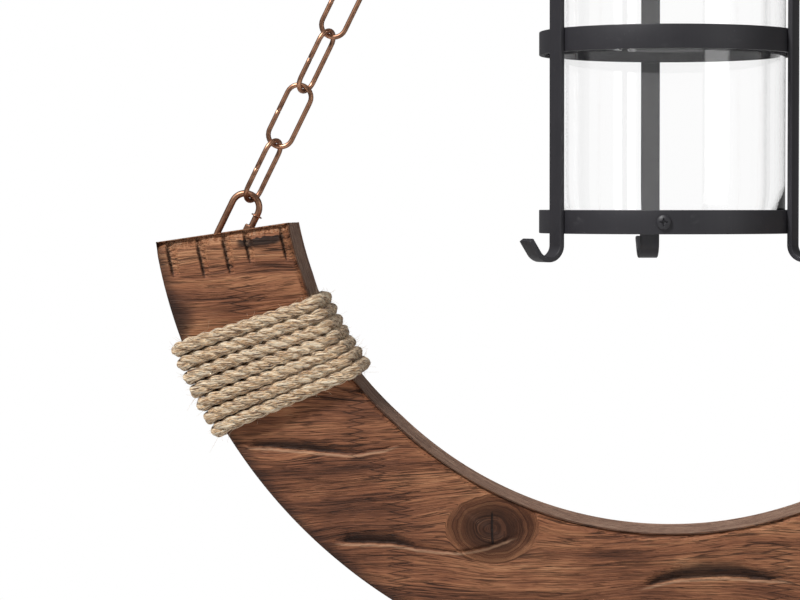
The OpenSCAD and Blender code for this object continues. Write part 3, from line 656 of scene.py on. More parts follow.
def rim_with_ends():
    """The rim's skin with both end faces and their pockets."""
    points, marks, faces, (front, behind, rows, depths) = rim_surface()
    low_share, high_share = POCKET_SHARE

    def add(new_points, mark):
        start = sum(len(some) for some in points)
        points.append(new_points)
        marks.append(np.tile(mark, (len(new_points), 1)))
        return start + np.arange(len(new_points))

    for side, column in ((1, 0), (-1, -1)):
        corner = END_CORNER * [side, 1]
        direction = END_DIR * [side, 1]
        normal = END_NORMAL * [side, 1]
        run = rows * END_LENGTH
        inner_depths = depths[1:]
        rough = 0.35 * fibre(70, run[:, None] * 0.9, inner_depths[None] * 0.5) - 0.5
        rough = rough * (inner_depths < RIM_HALF)
        plane = corner + direction * run[:, None]
        lifted = plane[:, None] + normal * rough[..., None]
        level = np.broadcast_to(inner_depths, rough.shape).copy()
        level[:, -1] = behind[column]
        grid = np.stack([lifted[..., 0], level, lifted[..., 1]], -1)
        index = add(grid.reshape(-1, 3), (0.0, 0.0, 2.0)).reshape(rough.shape)
        strip = np.concatenate([front[column][:, None], index], 1)
        for i in range(len(rows) - 1):
            for j in range(len(depths) - 1):
                middle = ((rows[i] + rows[i + 1]) / 2, (depths[j] + depths[j + 1]) / 2)
                if low_share < middle[0] < high_share and abs(middle[1]) < POCKET_HALF:
                    continue
                quad = [strip[i, j], strip[i, j + 1], strip[i + 1, j + 1], strip[i + 1, j]]
                faces.append(quad[::side])
        low, high = (int(np.argmin(abs(rows - p))) for p in POCKET_SHARE)
        left, right = (int(np.argmin(abs(depths - d))) for d in (-POCKET_HALF, POCKET_HALF))
        rim = (
            [(low, j) for j in range(left, right)]
            + [(i, right) for i in range(low, high)]
            + [(high, j) for j in range(right, left, -1)]
            + [(i, left) for i in range(high, low, -1)]
        )
        mouth = np.array([strip[i, j] for i, j in rim])
        floor = np.concatenate(points)[mouth]
        floor[:, [0, 2]] -= normal * POCKET_DEPTH
        # Painted shade: the pocket's floor is marked fully dark, so its walls darken towards it.
        bottom = add(floor, (1.0, 0.0, 2.0))
        centre = add(floor.mean(0)[None], (1.0, 0.0, 2.0))[0]
        for i in range(len(rim)):
            k = (i + 1) % len(rim)
            wall = [mouth[i], mouth[k], bottom[k], bottom[i]]
            base = [bottom[i], bottom[k], centre]
            faces += [wall[::side], base[::side]]
    return np.concatenate(points), faces, np.concatenate(marks)


# Rope binding: the turns fan out from a point, and each goes round the rim's rounded section.
FAN = np.array([287.0, 66.0])
FIRST_SLOPE = 17.1
STEP_SLOPE = 0.84
TURNS = 7
CORNER_R = 4.65
EDGE = 1.0
LOOP_STEPS = 24
REAR_MIDDLE = 5
STRANDS = 3
LAY_LENGTH = 25.0
STRAND_SIDES = 12
YARN_TURN = 0.30
HAIR_R = 0.085


def loop_track():
    """For each step of a turn: the share along the run, the share across and the outward angle."""
    corners = [(1, 1), (-1, 1), (-1, -1), (1, -1)]
    track = []
    for side, extra in enumerate((3, 1, 3, 1)):
        start, end = np.array(corners[side]), np.array(corners[(side + 1) % 4])
        track += [(*start, 90 * side + 30 * j) for j in range(4)]
        for j in range(1, extra + 1):
            track.append((*(start + (end - start) * j / (extra + 1)), 90 * (side + 1)))
    return np.array(track, float)


def rope_line(step=0.02):
    """Middle of the left rope, on the wheel, and its outward direction."""
    track = loop_track()
    track = np.concatenate([track, track[:1] + [[0, 0, 360]]])
    n = np.arange(1, TURNS * LOOP_STEPS - 1 + step, step)
    place = (n + REAR_MIDDLE) % LOOP_STEPS
    steps = np.arange(LOOP_STEPS + 1)
    along, across, angle = (np.interp(place, steps, track[:, i]) for i in range(3))
    slope = np.radians(FIRST_SLOPE + STEP_SLOPE * (n / LOOP_STEPS - 0.5))
    d = -polar(1.0, slope)

    def far(centre, radius):
        offset = FAN - centre
        forward = d @ offset
        return -forward + np.sqrt(forward**2 - offset @ offset + radius**2)

    near, end = far(np.array([0, RIM_INNER_RISE]), RIM_INNER_R), far(np.zeros(2), RIM_OUTER_R)
    run = (near + end) / 2 + along * ((end - near) / 2 - EDGE)
    a = np.radians(angle)
    out = np.stack([d[:, 0] * np.cos(a), np.sin(a), d[:, 1] * np.cos(a)], 1)
    flat = FAN + d * run[:, None]
    middle = np.stack([flat[:, 0], across * (RIM_HALF - EDGE), flat[:, 1]], 1)
    return middle + CORNER_R * out, out


def rope_strands(rope_r):
    """The laid strands of the left rope, with the run and the way round that their yarns follow."""
    line, out = rope_line()
    length = np.concatenate([[0], np.cumsum(np.linalg.norm(np.diff(line, axis=0), axis=1))])
    even = np.arange(0, length[-1], 1.5)
    line, out = (
        np.stack([np.interp(even, length, values[:, i]) for i in range(3)], 1)
        for values in (line, out)
    )
    along = tangents(line, False)
    out = unit(out - along * np.sum(out * along, 1)[:, None])
    beside = np.cross(along, out)
    strand_r = rope_r * 0.53
    offset = rope_r - strand_r
    slack = 0.16 * fibre(81, even * 0.05)
    parts, marks, tops = [], [], []
    for strand in range(STRANDS):
        turn = 2 * math.pi * (even / LAY_LENGTH + strand / STRANDS) + slack
        way = out * np.cos(turn)[:, None] + beside * np.sin(turn)[:, None]
        swell = strand_r * (1 + 0.05 * fibre(90 + strand, even * 0.11))
        path = line + way * offset
        points, faces = sweep(path, circle(1.0, STRAND_SIDES), growth=swell)
        grid = points.reshape(len(path), STRAND_SIDES, 3)
        relative = grid - path[:, None]
        normal_part = np.sum(relative * way[:, None], -1)
        side = np.cross(along, way)
        side_part = np.sum(relative * side[:, None], -1)
        yarn = even[:, None] * YARN_TURN
        c, s = np.cos(yarn), np.sin(yarn)
        run = np.broadcast_to(even[:, None] + 700 * strand, normal_part.shape)
        marks.append(
            np.stack([run, normal_part * c - side_part * s, normal_part * s + side_part * c], -1)
        )
        parts.append((points, faces))
        tops.append((path, way, swell))
    points, faces = joined(*parts)
    return points, faces, np.concatenate([m.reshape(-1, 3) for m in marks]), tops


def stray_fibres(tops, count, seed):
    """Thin curved hairs that stand off the strands."""
    rng = np.random.default_rng(seed)
    parts = []
    for _ in range(count):
        path, way, swell = tops[rng.integers(STRANDS)]
        i = rng.integers(2, len(path) - 3)
        forward = unit((path[i + 1] - path[i - 1]) * rng.choice([-1, 1]))
        side = np.cross(forward, way[i])
        spread = rng.uniform(-1.1, 1.1)
        up = way[i] * math.cos(spread) + side * math.sin(spread)
        length = rng.gamma(2.4, 1.7) + 1.5
        lift = rng.uniform(0.15, 0.75)
        curl = rng.uniform(-0.5, 0.5, 3)
        t = np.linspace(0, 1, 6)[:, None]
        hair = path[i] + up * swell[i] * 0.96 + forward * length * t * (1 - 0.25 * t)
        hair = hair + up * length * lift * t**1.4 + curl * length * t**2 * 0.7
        parts.append(sweep(hair, circle(HAIR_R, 3), growth=np.linspace(1, 0.45, 6)))
    return joined(*parts)


# Chains, quick links and screw eyes.
LINK_WIRE_R = 1.5
LINK_MID_R = 7.5
LINK_MID_LENGTH = 40.0
LINK_PITCH = 36.75
LINK_FIRST = 18.75
LINK_ROLL = 66.0
SIDE_LINKS = 15
LANTERN_LINKS = 5
QUICK_FIRST = 569.5
QUICK_LENGTH = 38.0
QUICK_MID_R = 8.5
QUICK_WIRE_R = 2.0
NUT_LOW = -10.0
NUT_HIGH = 2.0
QUICK_GAP = (-7.5, -0.5)
THREAD = (2.2, 8.3)
THREAD_TURNS = 9
EYE_DEPTH = 7.5
EYE_R = 6.5
EYE_WIRE_R = 2.0


def oval(length, radius, steps=14):
    """Closed line of a long link in the XZ plane, about its middle."""
    half = length / 2 - radius
    legs = np.linspace(-half, half, 9)[1:-1]
    return np.concatenate([
        arc((0, half), radius, 0, 180, steps), np.stack([np.full(7, -radius), legs[::-1]], 1),
        arc((0, -half), radius, 180, 360, steps), np.stack([np.full(7, radius), legs], 1),
    ])


def chain_link(seed):
    """A bent wire link whose two cut ends meet in the middle of its -X leg."""
    line = oval(LINK_MID_LENGTH, LINK_MID_R)
    middle = int(np.argmin(abs(line[:, 1]) + 50 * (line[:, 0] > 0)))
    line = np.roll(line, -middle, 0)
    line[0] = (-LINK_MID_R, -0.05)
    path = standing(np.concatenate([line, [(-LINK_MID_R, 0.05)]]))
    points, faces = rounded_wire(path, LINK_WIRE_R, 14, 0.22)
    rng = np.random.default_rng(seed)
    return points + rng.uniform(-0.03, 0.03, 3), faces


def on_chain_line(points, s, side):
    """Carries a piece of the left chain's line, s below the ring's centre, to its side."""
    turned = spin(points + [0, 0, -s], math.degrees(CHAIN_ANGLE), "y")
    return (turned + [0, 0, RING_Z]) * [side, 1, 1]


def chain(links, roll, seed, place):
    """Links that hang in one another, every other one rolled, each put in line by place."""
    parts = []
    for k in range(links):
        points, faces = chain_link(seed + k)
        points = spin(points, roll if k % 2 == 0 else 0)
        s = LINK_FIRST + LINK_MID_LENGTH / 2 + k * LINK_PITCH
        parts.append((place(points, s), faces))
    return joined(*parts)


def side_chain(side):
    return chain(SIDE_LINKS, LINK_ROLL, 0, lambda points, s: on_chain_line(points, s, side))


def lantern_chain():
    return chain(LANTERN_LINKS, 90, 40, lambda points, s: points + [0, 0, RING_Z - s])


def quick_link():
    """The open bow of a quick link, with its thread across the gap's upper end."""
    line = oval(QUICK_LENGTH, QUICK_MID_R, 18)
    gap_low, gap_high = QUICK_GAP
    in_gap = (line[:, 1] > gap_low - 0.1) & (line[:, 1] < gap_high + 0.1)
    keep = ~((line[:, 0] > QUICK_MID_R - 0.01) & in_gap)
    start = int(np.argmax(~keep))
    line, keep = np.roll(line, -start, 0), np.roll(keep, -start)
    line = np.concatenate([[(QUICK_MID_R, gap_high)], line[keep], [(QUICK_MID_R, gap_low)]])
    bow = rounded_wire(standing(line), QUICK_WIRE_R, 18, 0.4)
    collar = lathe([(0, 8.5), (3.1, 8.5), (3.4, 8.7), (3.4, 9.1), (3.1, 9.3), (0, 9.3)], 32)
    thread = helix(QUICK_WIRE_R - 0.14, *THREAD, THREAD_TURNS, 120, circle(0.16, 5))
    return joined(bow, moved(joined(collar, thread), x=QUICK_MID_R))


def sleeve_nut():
    return moved(hexagon(7.6, QUICK_WIRE_R + 0.06, NUT_LOW, NUT_HIGH, 0.5), x=QUICK_MID_R)


def on_end_face(points, side):
    """Carries a piece of the left end face's frame to its side."""
    foot = END_CORNER + END_DIR * END_LENGTH / 2
    turned = spin(points, -END_SLOPE, "y") + [foot[0], 0, WHEEL_Z + foot[1]]
    return turned * [side, 1, 1]


def screw_eye():
    """Eye, neck and collar of the screw that carries the rim's end, and its thread in the wood."""
    low = -EYE_DEPTH - EYE_R
    angles = np.radians(np.linspace(-90 + 14, 270 - 14, 40))
    ring = np.stack([np.zeros(40), EYE_R * np.cos(angles), low + EYE_R * np.sin(angles)], 1)
    shank_low = -POCKET_DEPTH - 30
    shank = lathe([
        (0, shank_low), (0.6, shank_low + 0.4), (2.3, shank_low + 7), (2.4, -POCKET_DEPTH),
        (4.4, -POCKET_DEPTH), (4.6, -POCKET_DEPTH + 0.4), (4.6, -POCKET_DEPTH + 1.1),
        (4.2, -POCKET_DEPTH + 1.5), (2.4, -POCKET_DEPTH + 1.6), (1.9, low - EYE_R + 1.2),
        (0, low - EYE_R + 1.4),
    ], 24)
    return joined(sweep(ring, circle(EYE_WIRE_R, 14)), shank)


# Lantern: radii from its axis and drops below the top of the hub plate.
CAGE_R = 77.5
FLAT_T = 3.0
BAR_W = 12.0
RING_H = 13.9
RING_DROPS = {"top_ring": 82.4, "upper_ring": 188.4, "lower_ring": 294.4}
BAR_BEND_R = 11.0
BAR_HOOK_R = 10.0
BAR_HOOK_DROP = 307.9
BAR_HOOK_SWEEP = 146.0
BAR_HOOK_TIP = 9.5
HUB_R = 32.0
HUB_T = 3.0
HUB_SCREW_AT = 22.5
LEG_INNER = 12.0
LOOP_R = 9.0
LOOP_WIRE_R = 2.5
SOCKET_H = 13.0
GLASS_R = 69.5
GLASS_WALL = 3.0
GLASS_TOP = 30.0
GLASS_LOW = 292.15
HOLDER_R = 20.0
HOLDER_TOP = 8.0
HOLDER_BODY = 28.0
HOLDER_LOW = 62.0
BULB_R = 30.0
BULB_MIDDLE = 111.0
BULB_CAP_R = 13.3
BULB_CAP_TOP = 39.0
NECK_R = 11.8
LEAD_PLACE = polar(20.0, math.radians(138.0))
CANOPY_BALL_R = 68.0
CANOPY_RISE = 28.0
CANOPY_H = 34.0
HOOK_Z = -66.836
HOOK_R = 12.0
HOOK_WIRE_R = 3.0
HOOK_BEND = 65
HOOK_TURN = 250
HOOK_THREADS = 38
MASTER_RING_R = 23.0
MASTER_WIRE_R = 2.5
GLASS_SCREW = 14.0
SCREW_R = 2.0
SCREW_NUT = (7, SCREW_R + 0.05)


def rounded_box(width, height, radius, steps=4):
    """Outline of a flat bar's section with rounded edges."""
    points = []
    for k, (i, j) in enumerate([(1, 1), (-1, 1), (-1, -1), (1, -1)]):
        centre = (i * (width / 2 - radius), j * (height / 2 - radius))
        points.append(arc(centre, radius, 90 * k, 90 * k + 90, steps))
    return np.concatenate(points)


def flat_bar():
    """A lantern bar in the XZ plane: under the hub plate, over the bend and down to its hook."""
    outer = CAGE_R + FLAT_T
    mid = FLAT_T / 2
    bend = (outer - BAR_BEND_R, -HUB_T - BAR_BEND_R)
    hook = (CAGE_R + BAR_HOOK_R, -BAR_HOOK_DROP)
    tip_angle = math.radians(180 + BAR_HOOK_SWEEP + 90)
    leg = np.linspace(LEG_INNER, bend[0], 6)[:-1]
    down = np.linspace(bend[1], hook[1], 40)[1:-1]
    turn = arc(hook, BAR_HOOK_R - mid, 180, 180 + BAR_HOOK_SWEEP, 26)
    tip = turn[-1] + polar(np.array([4.0, BAR_HOOK_TIP]), tip_angle)
    line = np.concatenate([
        np.stack([leg, np.full(5, -HUB_T - mid)], 1), arc(bend, BAR_BEND_R - mid, 90, 0, 14),
        np.stack([np.full(38, CAGE_R + mid), down], 1), turn, tip,
    ])
    line = np.concatenate([line[:-1], [line[-1] - unit(line[-1] - line[-2]) * 0.35, line[-1]]])
    growth = np.ones(len(line))
    growth[-1] = 0.9
    return sweep(standing(line), rounded_box(FLAT_T, BAR_W, 0.45), up=(0, 1, 0), growth=growth)


def cage_ring(drop):
    ring = circle(CAGE_R - FLAT_T / 2, 144)
    path = np.column_stack([ring, np.full(144, -drop)])
    return sweep(path, rounded_box(FLAT_T, RING_H, 0.45), closed=True, up=(0, 0, 1))


def screw_head(head_r=4.3, head_h=2.6, sides=72):
    """Pan head with a cross recess, standing on the XY plane."""
    radii = np.linspace(0.04, 1, 26) ** 0.9 * (head_r - 0.35)
    radii = np.concatenate([radii, [head_r - 0.1, head_r, head_r]])
    dome = head_h - 0.75 * (radii / head_r) ** 2.4 * head_h * 0.75
    dome[-3:] = (head_h * 0.42, head_h * 0.3, 0.0)
    ring = circle(1.0, sides)
    x, y = radii[:, None] * ring[:, 0], radii[:, None] * ring[:, 1]

    def slot(along, across):
        taper = 0.52 - 0.06 * np.abs(along)
        wall = np.clip((taper - np.abs(across)) / 0.22, 0, 1)
        return wall * np.clip((2.55 - np.abs(along)) / 0.45, 0, 1) * (1.45 - 0.32 * np.abs(along))

    recess = np.maximum(slot(x, y), slot(y, x))
    recess = np.maximum(recess, np.clip((1.25 - radii[:, None]) / 0.3, 0, 1) * 1.2)
    z = dome[:, None] - recess
    points = np.stack([x, y, z], -1).reshape(-1, 3)
    return points, [list(range(sides))] + band_faces(len(radii), sides)


def threaded(radius, low, high, pitch=0.7):
    """A screw's shank with its helical thread."""
    core = lathe([
        (0, low), (radius - 0.45, low), (radius - 0.2, low + 0.4), (radius - 0.2, high), (0, high),
    ], 24)
    turns = (high - low - 1) / pitch
    ends = (low + 0.5, high - 0.5)
    return joined(core, helix(radius - 0.17, *ends, turns, int(turns * 16), circle(0.15, 4)))


def round_azimuths(part, azimuths):
    points, faces = part
    return joined(*[(spin(points, azimuth), faces) for azimuth in azimuths])


def outward(part, radius, z):
    """Turns a part that stands on Z so that it points out along X, at that radius."""
    points, faces = part
    turned = np.stack([points[:, 2] + radius, points[:, 1], -points[:, 0] + z], 1)
    return turned, faces


def moved(part, x=0.0, y=0.0, z=0.0):
    return part[0] + [x, y, z], part[1]


def closed_wire_ring(radius, wire_r, steps=96, sides=18):
    """A round wire ring in the XZ plane."""
    return sweep(standing(circle(radius, steps)), circle(wire_r, sides), closed=True)


def weld_bead(radius, wire_r, angle):
    """The raised weld of a wire ring in the XZ plane."""
    path = standing(arc((0, 0), radius, angle - 5, angle + 5, 8))
    growth = 1 + 0.11 * np.sin(np.linspace(0, math.pi, 9)) ** 0.7
    return sweep(path, circle(wire_r * 0.97, 18), growth=growth)


def lantern_loop():
    low = LOOP_R + SOCKET_H
    ring = moved(closed_wire_ring(LOOP_R, LOOP_WIRE_R, 72), z=low)
    socket = lathe([
        (5.1, 0), (7.1, 0), (7.5, 0.4), (7.5, 9.0), (7.1, 10.4), (5.6, 12.2), (3.4, 13.0),
        (0, 13.4),
    ], 48)
    return joined(ring, socket)


def hub_plate():
    return lathe([
        (5.1, -HUB_T), (HUB_R - 0.5, -HUB_T), (HUB_R, -HUB_T + 0.5), (HUB_R, -0.6),
        (HUB_R - 0.2, -0.2), (HUB_R - 0.7, 0), (5.1, 0), (5.1, -HUB_T),
    ], 120)


def glass_tube():
    """The glass with its fire-polished edges."""
    inner, wall = GLASS_R - GLASS_WALL, GLASS_WALL / 2
    top = arc((GLASS_R - wall, -GLASS_TOP - 0.7), 1.0, 0, 180, 8)
    low = arc((GLASS_R - wall, -GLASS_LOW + 0.7), 1.0, 180, 360, 8)
    top = np.column_stack([GLASS_R - wall + (top[:, 0] - GLASS_R + wall) * wall, top[:, 1] - 0.3])
    low = np.column_stack([GLASS_R - wall + (low[:, 0] - GLASS_R + wall) * wall, low[:, 1] + 0.3])
    sides = np.linspace(-GLASS_TOP - 1.0, -GLASS_LOW + 1.0, 14)[1:-1]
    profile = np.concatenate([
        top, np.column_stack([np.full(12, inner), sides]), low,
        np.column_stack([np.full(12, GLASS_R), sides[::-1]]), top[:1],
    ])
    return ring_lathe(profile, 160)


def bulb_outline(grow):
    """Radius and drop of the bulb's glass, from its bottom to inside the cap."""
    angles = np.radians(np.linspace(-90, 42, 40))
    ball = polar(BULB_R, angles) - [0, BULB_MIDDLE]
    join = ball[-1]
    end = np.array([NECK_R, -HOLDER_LOW - 2.0])
    slope = np.array([-math.sin(angles[-1]), math.cos(angles[-1])]) * 22
    t = np.linspace(0, 1, 16)[1:, None]
    reach = np.array([0, 14.0])
    neck = (
        (2 * t**3 - 3 * t**2 + 1) * join + (t**3 - 2 * t**2 + t) * slope
        + (-2 * t**3 + 3 * t**2) * end + (t**3 - t**2) * reach
    )
    line = np.concatenate([ball, neck, [[NECK_R, -HOLDER_LOW + 5]]])
    line[:, 0] = np.maximum(line[:, 0] + grow, 0.0)
    line[0] = (0.0, line[0, 1] - grow)
    return line


def bulb_envelope():
    outer = bulb_outline(0.0)
    inner = bulb_outline(-0.8)[::-1]
    return lathe(np.concatenate([outer, inner]), 96)


def bulb_cap():
    """Screw cap with its rolled thread."""
    pitch, depth, sides = 3.6, 0.75, 64
    heights = np.linspace(-HOLDER_LOW, -BULB_CAP_TOP, 56)
    angles = full_turn(sides)
    rows = []
    for h in heights:
        wave = 0.5 - 0.5 * np.cos(2 * math.pi * (h / pitch) - angles)
        fade = min(1, (h + HOLDER_LOW) / 2.5, (-BULB_CAP_TOP - h) / 2.5)
        rows.append((BULB_CAP_R - depth * (1 - wave * max(fade, 0)), h))
    points = np.concatenate([rings_of(rows, sides), [[0, 0, -BULB_CAP_TOP]]])
    faces = band_faces(len(heights), sides)
    top = (len(heights) - 1) * sides
    faces += [(top + j, top + (j + 1) % sides, len(points) - 1) for j in range(sides)]
    return points, faces


def bulb_filaments():
    """Glass stem and the four long filaments that lean out from it."""
    stem_low = -HOLDER_LOW - 26.3
    stem = lathe([
        (0, stem_low - 0.6), (1.6, stem_low), (2.2, stem_low + 3), (2.0, stem_low + 14),
        (3.2, -HOLDER_LOW - 4), (7.5, -HOLDER_LOW + 2), (10.6, -HOLDER_LOW + 3.6),
        (0, -HOLDER_LOW + 3.8),
    ], 40)
    lean = math.radians(12)
    t = np.array([0, 1.2, 2.6, 4, 30, 31.4, 32.8, 34])[:, None]
    growth = [0.3, 0.3, 0.3, 1, 1, 0.3, 0.3, 0.25]
    rods = []
    for a in np.radians([45, 135, 225, 315]):
        start = np.append(polar(2.6, a), stem_low + 1)
        step = np.append(polar(math.sin(lean), a), -math.cos(lean))
        rods.append(sweep(start + step * t, circle(0.85, 10), growth=growth))
    return stem, joined(*rods)


def holder_cap():
    rim = moved_rows([
        (20, 1.6), (19.4, 1.2), (19.4, 0.6), (20, 0.3), (20, 0), (18.8, 0),
    ], -HOLDER_BODY)
    return lathe([
        (5.1, -HOLDER_TOP - 1.1),
        *moved_rows([
            (5.1, 0), (7.6, 0), (8.2, -0.3), (9.6, -2.0), (18.6, -7.7), (19.7, -8.8), (20, -10),
        ], -HOLDER_TOP),
        *rim, (18.8, -HOLDER_TOP - 9.6), (7.5, -HOLDER_TOP - 1.2),
    ], 72)


def holder_body():
    """Insulating cup with its ribs and rolled mouth."""
    ribs = []
    for k in range(4):
        z = -HOLDER_BODY - 5 - 5.5 * k
        sunk = HOLDER_R - 0.5
        ribs += [(HOLDER_R, z), (sunk, z - 0.5), (sunk, z - 1.3), (HOLDER_R, z - 1.8)]
    inner = BULB_CAP_R + 1.25
    return lathe([
        (0, -HOLDER_BODY + 0.5), (18.5, -HOLDER_BODY + 0.5), (18.5, -HOLDER_BODY - 0.01),
        (HOLDER_R - 0.4, -HOLDER_BODY - 0.01), (HOLDER_R, -HOLDER_BODY - 0.4), *ribs,
        (HOLDER_R, -HOLDER_LOW + 0.8), (HOLDER_R - 0.6, -HOLDER_LOW), (inner + 0.5, -HOLDER_LOW),
        (inner, -HOLDER_LOW + 0.5), (inner, -HOLDER_LOW + 27), (0, -HOLDER_LOW + 27),
    ], 96)


def canopy_shell():
    """Spun ball-shaped cover with a rolled upper rim."""
    floor_angle = math.degrees(math.asin(-(CANOPY_H + CANOPY_RISE) / CANOPY_BALL_R))
    edge_angle = math.degrees(math.asin(-CANOPY_RISE / CANOPY_BALL_R))
    ball = arc((0, CANOPY_RISE), CANOPY_BALL_R, edge_angle - 1.2, floor_angle + 1.5, 40)
    wall = 1.2
    floor_r = math.sqrt(CANOPY_BALL_R**2 - (CANOPY_H + CANOPY_RISE) ** 2)
    inner_angle = math.degrees(math.asin(-(CANOPY_RISE + 0.1) / (CANOPY_BALL_R - wall)))
    inner = arc((0, CANOPY_RISE), CANOPY_BALL_R - wall, floor_angle + 3, inner_angle, 24)
    edge_r = math.sqrt(CANOPY_BALL_R**2 - CANOPY_RISE**2)
    return lathe(np.concatenate([
        [(edge_r - 0.9, 0), (edge_r - 0.5, -0.05), (edge_r - 0.1, -0.5)], ball,
        [(floor_r - 1.0, -CANOPY_H), (3.3, -CANOPY_H), (3.3, -CANOPY_H + wall)], inner,
    ]), 120)


def canopy_nut():
    return lathe(moved_rows([
        (3.1, 0), (9.6, 0), (10, -0.4), (10, -1.6), (9.6, -2), (8, -2.2), (7.7, -2.6), (8, -3),
        (8, -7), (7.2, -8), (3.1, -8), (3.1, 0),
    ], -CANOPY_H), 60)


def ceiling_hook():
    """Threaded stem, its offset bend and the bow that is open to the front, in the YZ plane."""
    start = math.radians(HOOK_BEND)
    bend_r = HOOK_R * math.cos(start) / (1 - math.cos(start))
    top = HOOK_Z + (HOOK_R + bend_r) * math.sin(start)
    stem = np.stack([np.zeros(20), np.linspace(0, top, 20)], 1)
    bend = arc((bend_r, top), bend_r, 180, 180 + HOOK_BEND, 14)[1:]
    bow = arc((0, HOOK_Z), HOOK_R, HOOK_BEND, HOOK_BEND - HOOK_TURN, 44)[1:]
    path = standing(np.concatenate([stem, bend, bow]))[:, [1, 0, 2]]
    thread = helix(HOOK_WIRE_R - 0.13, -0.6, -44.6, HOOK_THREADS, 900, circle(0.16, 4))
    return joined(rounded_wire(path, HOOK_WIRE_R, 20, 0.8), thread)


def lead_sleeve(low, high, rim_low, rim_high, radius=4.0, bore=2.6, rim=6.0):
    """Insulating sleeve for the supply lead, about its own axis."""
    return lathe([
        (bore, low), (radius - 0.3, low), (radius, low + 0.3), (radius, rim_low),
        (rim - 0.4, rim_low), (rim, rim_low + 0.4), (rim, rim_high - 0.6),
        (rim - 0.8, rim_high), (bore + 0.9, rim_high),
        (bore + 0.7, high - 0.3), (bore + 0.4, high), (bore, high), (bore, low),
    ], 48)


# Finishes. Places on the wood are in millimetres, on the wheel.
KNOTS = [(-104.2, -219.6, 14.0), (146.0, -232.0, 11.0)]
FINGER_JOINTS = [
    (-259, -92.6, -75, 12, 4.4), (-188, -179, -137, 9, 4.2), (-175, -193, -178, 9, 4.2),
    (-164, -226, -194, 13, 4.6), (-164, -262, -232, 13, 4.6), (-31, -296, -262, 13, 4.4),
    (62, -290, -226, 13, 4.2), (168, -256, -166, 13, 4.6), (246, -190, -120, 12, 4.0),
]
STAIN = 0.92
SCORCH_PLACE = (243.0, -46.5)
SCORCH_HALF = (14.0, 5.4)
BURN_PLACE = (296.0, -94.0)
BURN_HALF = (15.0, 17.0)


def knotted(p, x, y, z):
    """Grain height bent round the knots, with the knots' rings, cores and cracks."""
    height, rings, inside, crack = z, 0.0, 0.0, 0.0
    for kx, kz, radius in KNOTS:
        dx, dz = (x - kx) / 1.35, z - kz
        reach = (dx * dx + dz * dz + 4.0) ** 0.5
        wobble = p.veins((x * 0.06, y * 0.06, z * 0.06), 2.0) * 5
        core = (reach + wobble).band(radius * 1.7, radius * 0.65)
        bent = dz * (radius * radius * 0.9) / (reach * reach + radius * radius * 0.6)
        height = (height - bent) * (1.0 - core) + (reach * 1.6 + wobble) * core
        rings = rings + core * (reach + wobble)
        inside = inside + core
        split = (dx + wobble * 0.25 - 0.7).math("ABSOLUTE").band(0.65, 0.2)
        crack = crack + split * dz.math("ABSOLUTE").band(radius * 0.75, radius * 0.6)
    return height, rings, inside, crack


def finger_joints(p, x, z, fibre_tone):
    """Glued zigzag joints between the boards of the rim."""
    joint = 0.0
    for jx, low, high, length, pitch in FINGER_JOINTS:
        saw = ((z + 500.0) / pitch).math("PINGPONG", 0.5) * 2
        drift = p.veins((z * 0.4, jx * 0.01, 0.0), 1.0) * 4
        across = (x + drift - jx) / length
        edge = (saw - across).math("ABSOLUTE").band(0.17, 0.04)
        spell = (z.band(low - 0.6, low + 0.6)) * (z.band(high + 0.6, high - 0.6))
        patchy = fibre_tone.band(0.3, 0.48)
        joint = joint + edge * spell * patchy
    return joint


def scorched(p, x, z, blotch):
    """How burnt the wood is: the small scorch mark and the wider zone at each end."""
    reach = x.math("ABSOLUTE")
    scorch_x = ((reach - SCORCH_PLACE[0]) / SCORCH_HALF[0]).math("ABSOLUTE") ** 4
    scorch_z = z - SCORCH_PLACE[1] + (reach - SCORCH_PLACE[0]) * 0.12
    scorch_z = (scorch_z / SCORCH_HALF[1]).math("ABSOLUTE") ** 4
    scorch = (scorch_x + scorch_z + p.noise(p.place, 120.0, 2.0) * 0.9).band(1.9, 0.8)
    burn_x, burn_z = (reach - BURN_PLACE[0]) / BURN_HALF[0], (z - BURN_PLACE[1]) / BURN_HALF[1]
    burn = (burn_x * burn_x + burn_z * burn_z + blotch * 0.8).band(1.7, 0.5)
    return scorch, burn


def inner_side(p, look, x, y, z):
    """Colour of the rim's inner side, with its long fibres and torn places."""
    inner_z = z - RIM_INNER_RISE
    round_run = inner_z.math("ARCTAN2", x)
    inner_reach = (x * x + inner_z * inner_z) ** 0.5
    long_fibre = p.veins((round_run * 9.0, y * 0.75, inner_reach * 0.9), 4.0, 0.62)
    chipped = p.veins((round_run * 60.0, y * 0.5, inner_reach * 0.5), 3.0, 0.6)
    side_tone = long_fibre * 0.7 + chipped * 0.3
    side_colour = p.ramp(
        side_tone, (0.3, look.side_dark), (0.5, look.side_mid), (0.68, look.side_light)
    )
    return side_colour, long_fibre, chipped


def end_wood(p, look, x, y, z):
    """Colour of the cut ends, with its tones and its pores."""
    end_grain = p.cells(p.vector(x * 0.9, y * 0.9, z * 0.9), 1.0).band(0.15, 0.6)
    end_tone = p.veins((x * 0.12, y * 0.5, z * 0.12), 3.0, 0.6)
    tick = p.veins((x * 0.9, y * 0.15, z * 0.1), 2.0).band(0.42, 0.6)
    end_colour = p.ramp(
        end_tone * 0.65 + end_grain * 0.12 + tick * 0.2, (0.3, look.wood_mid_dark),
        (0.5, look.wood_light), (0.7, look.end_pale),
    )
    return end_colour, end_tone, end_grain


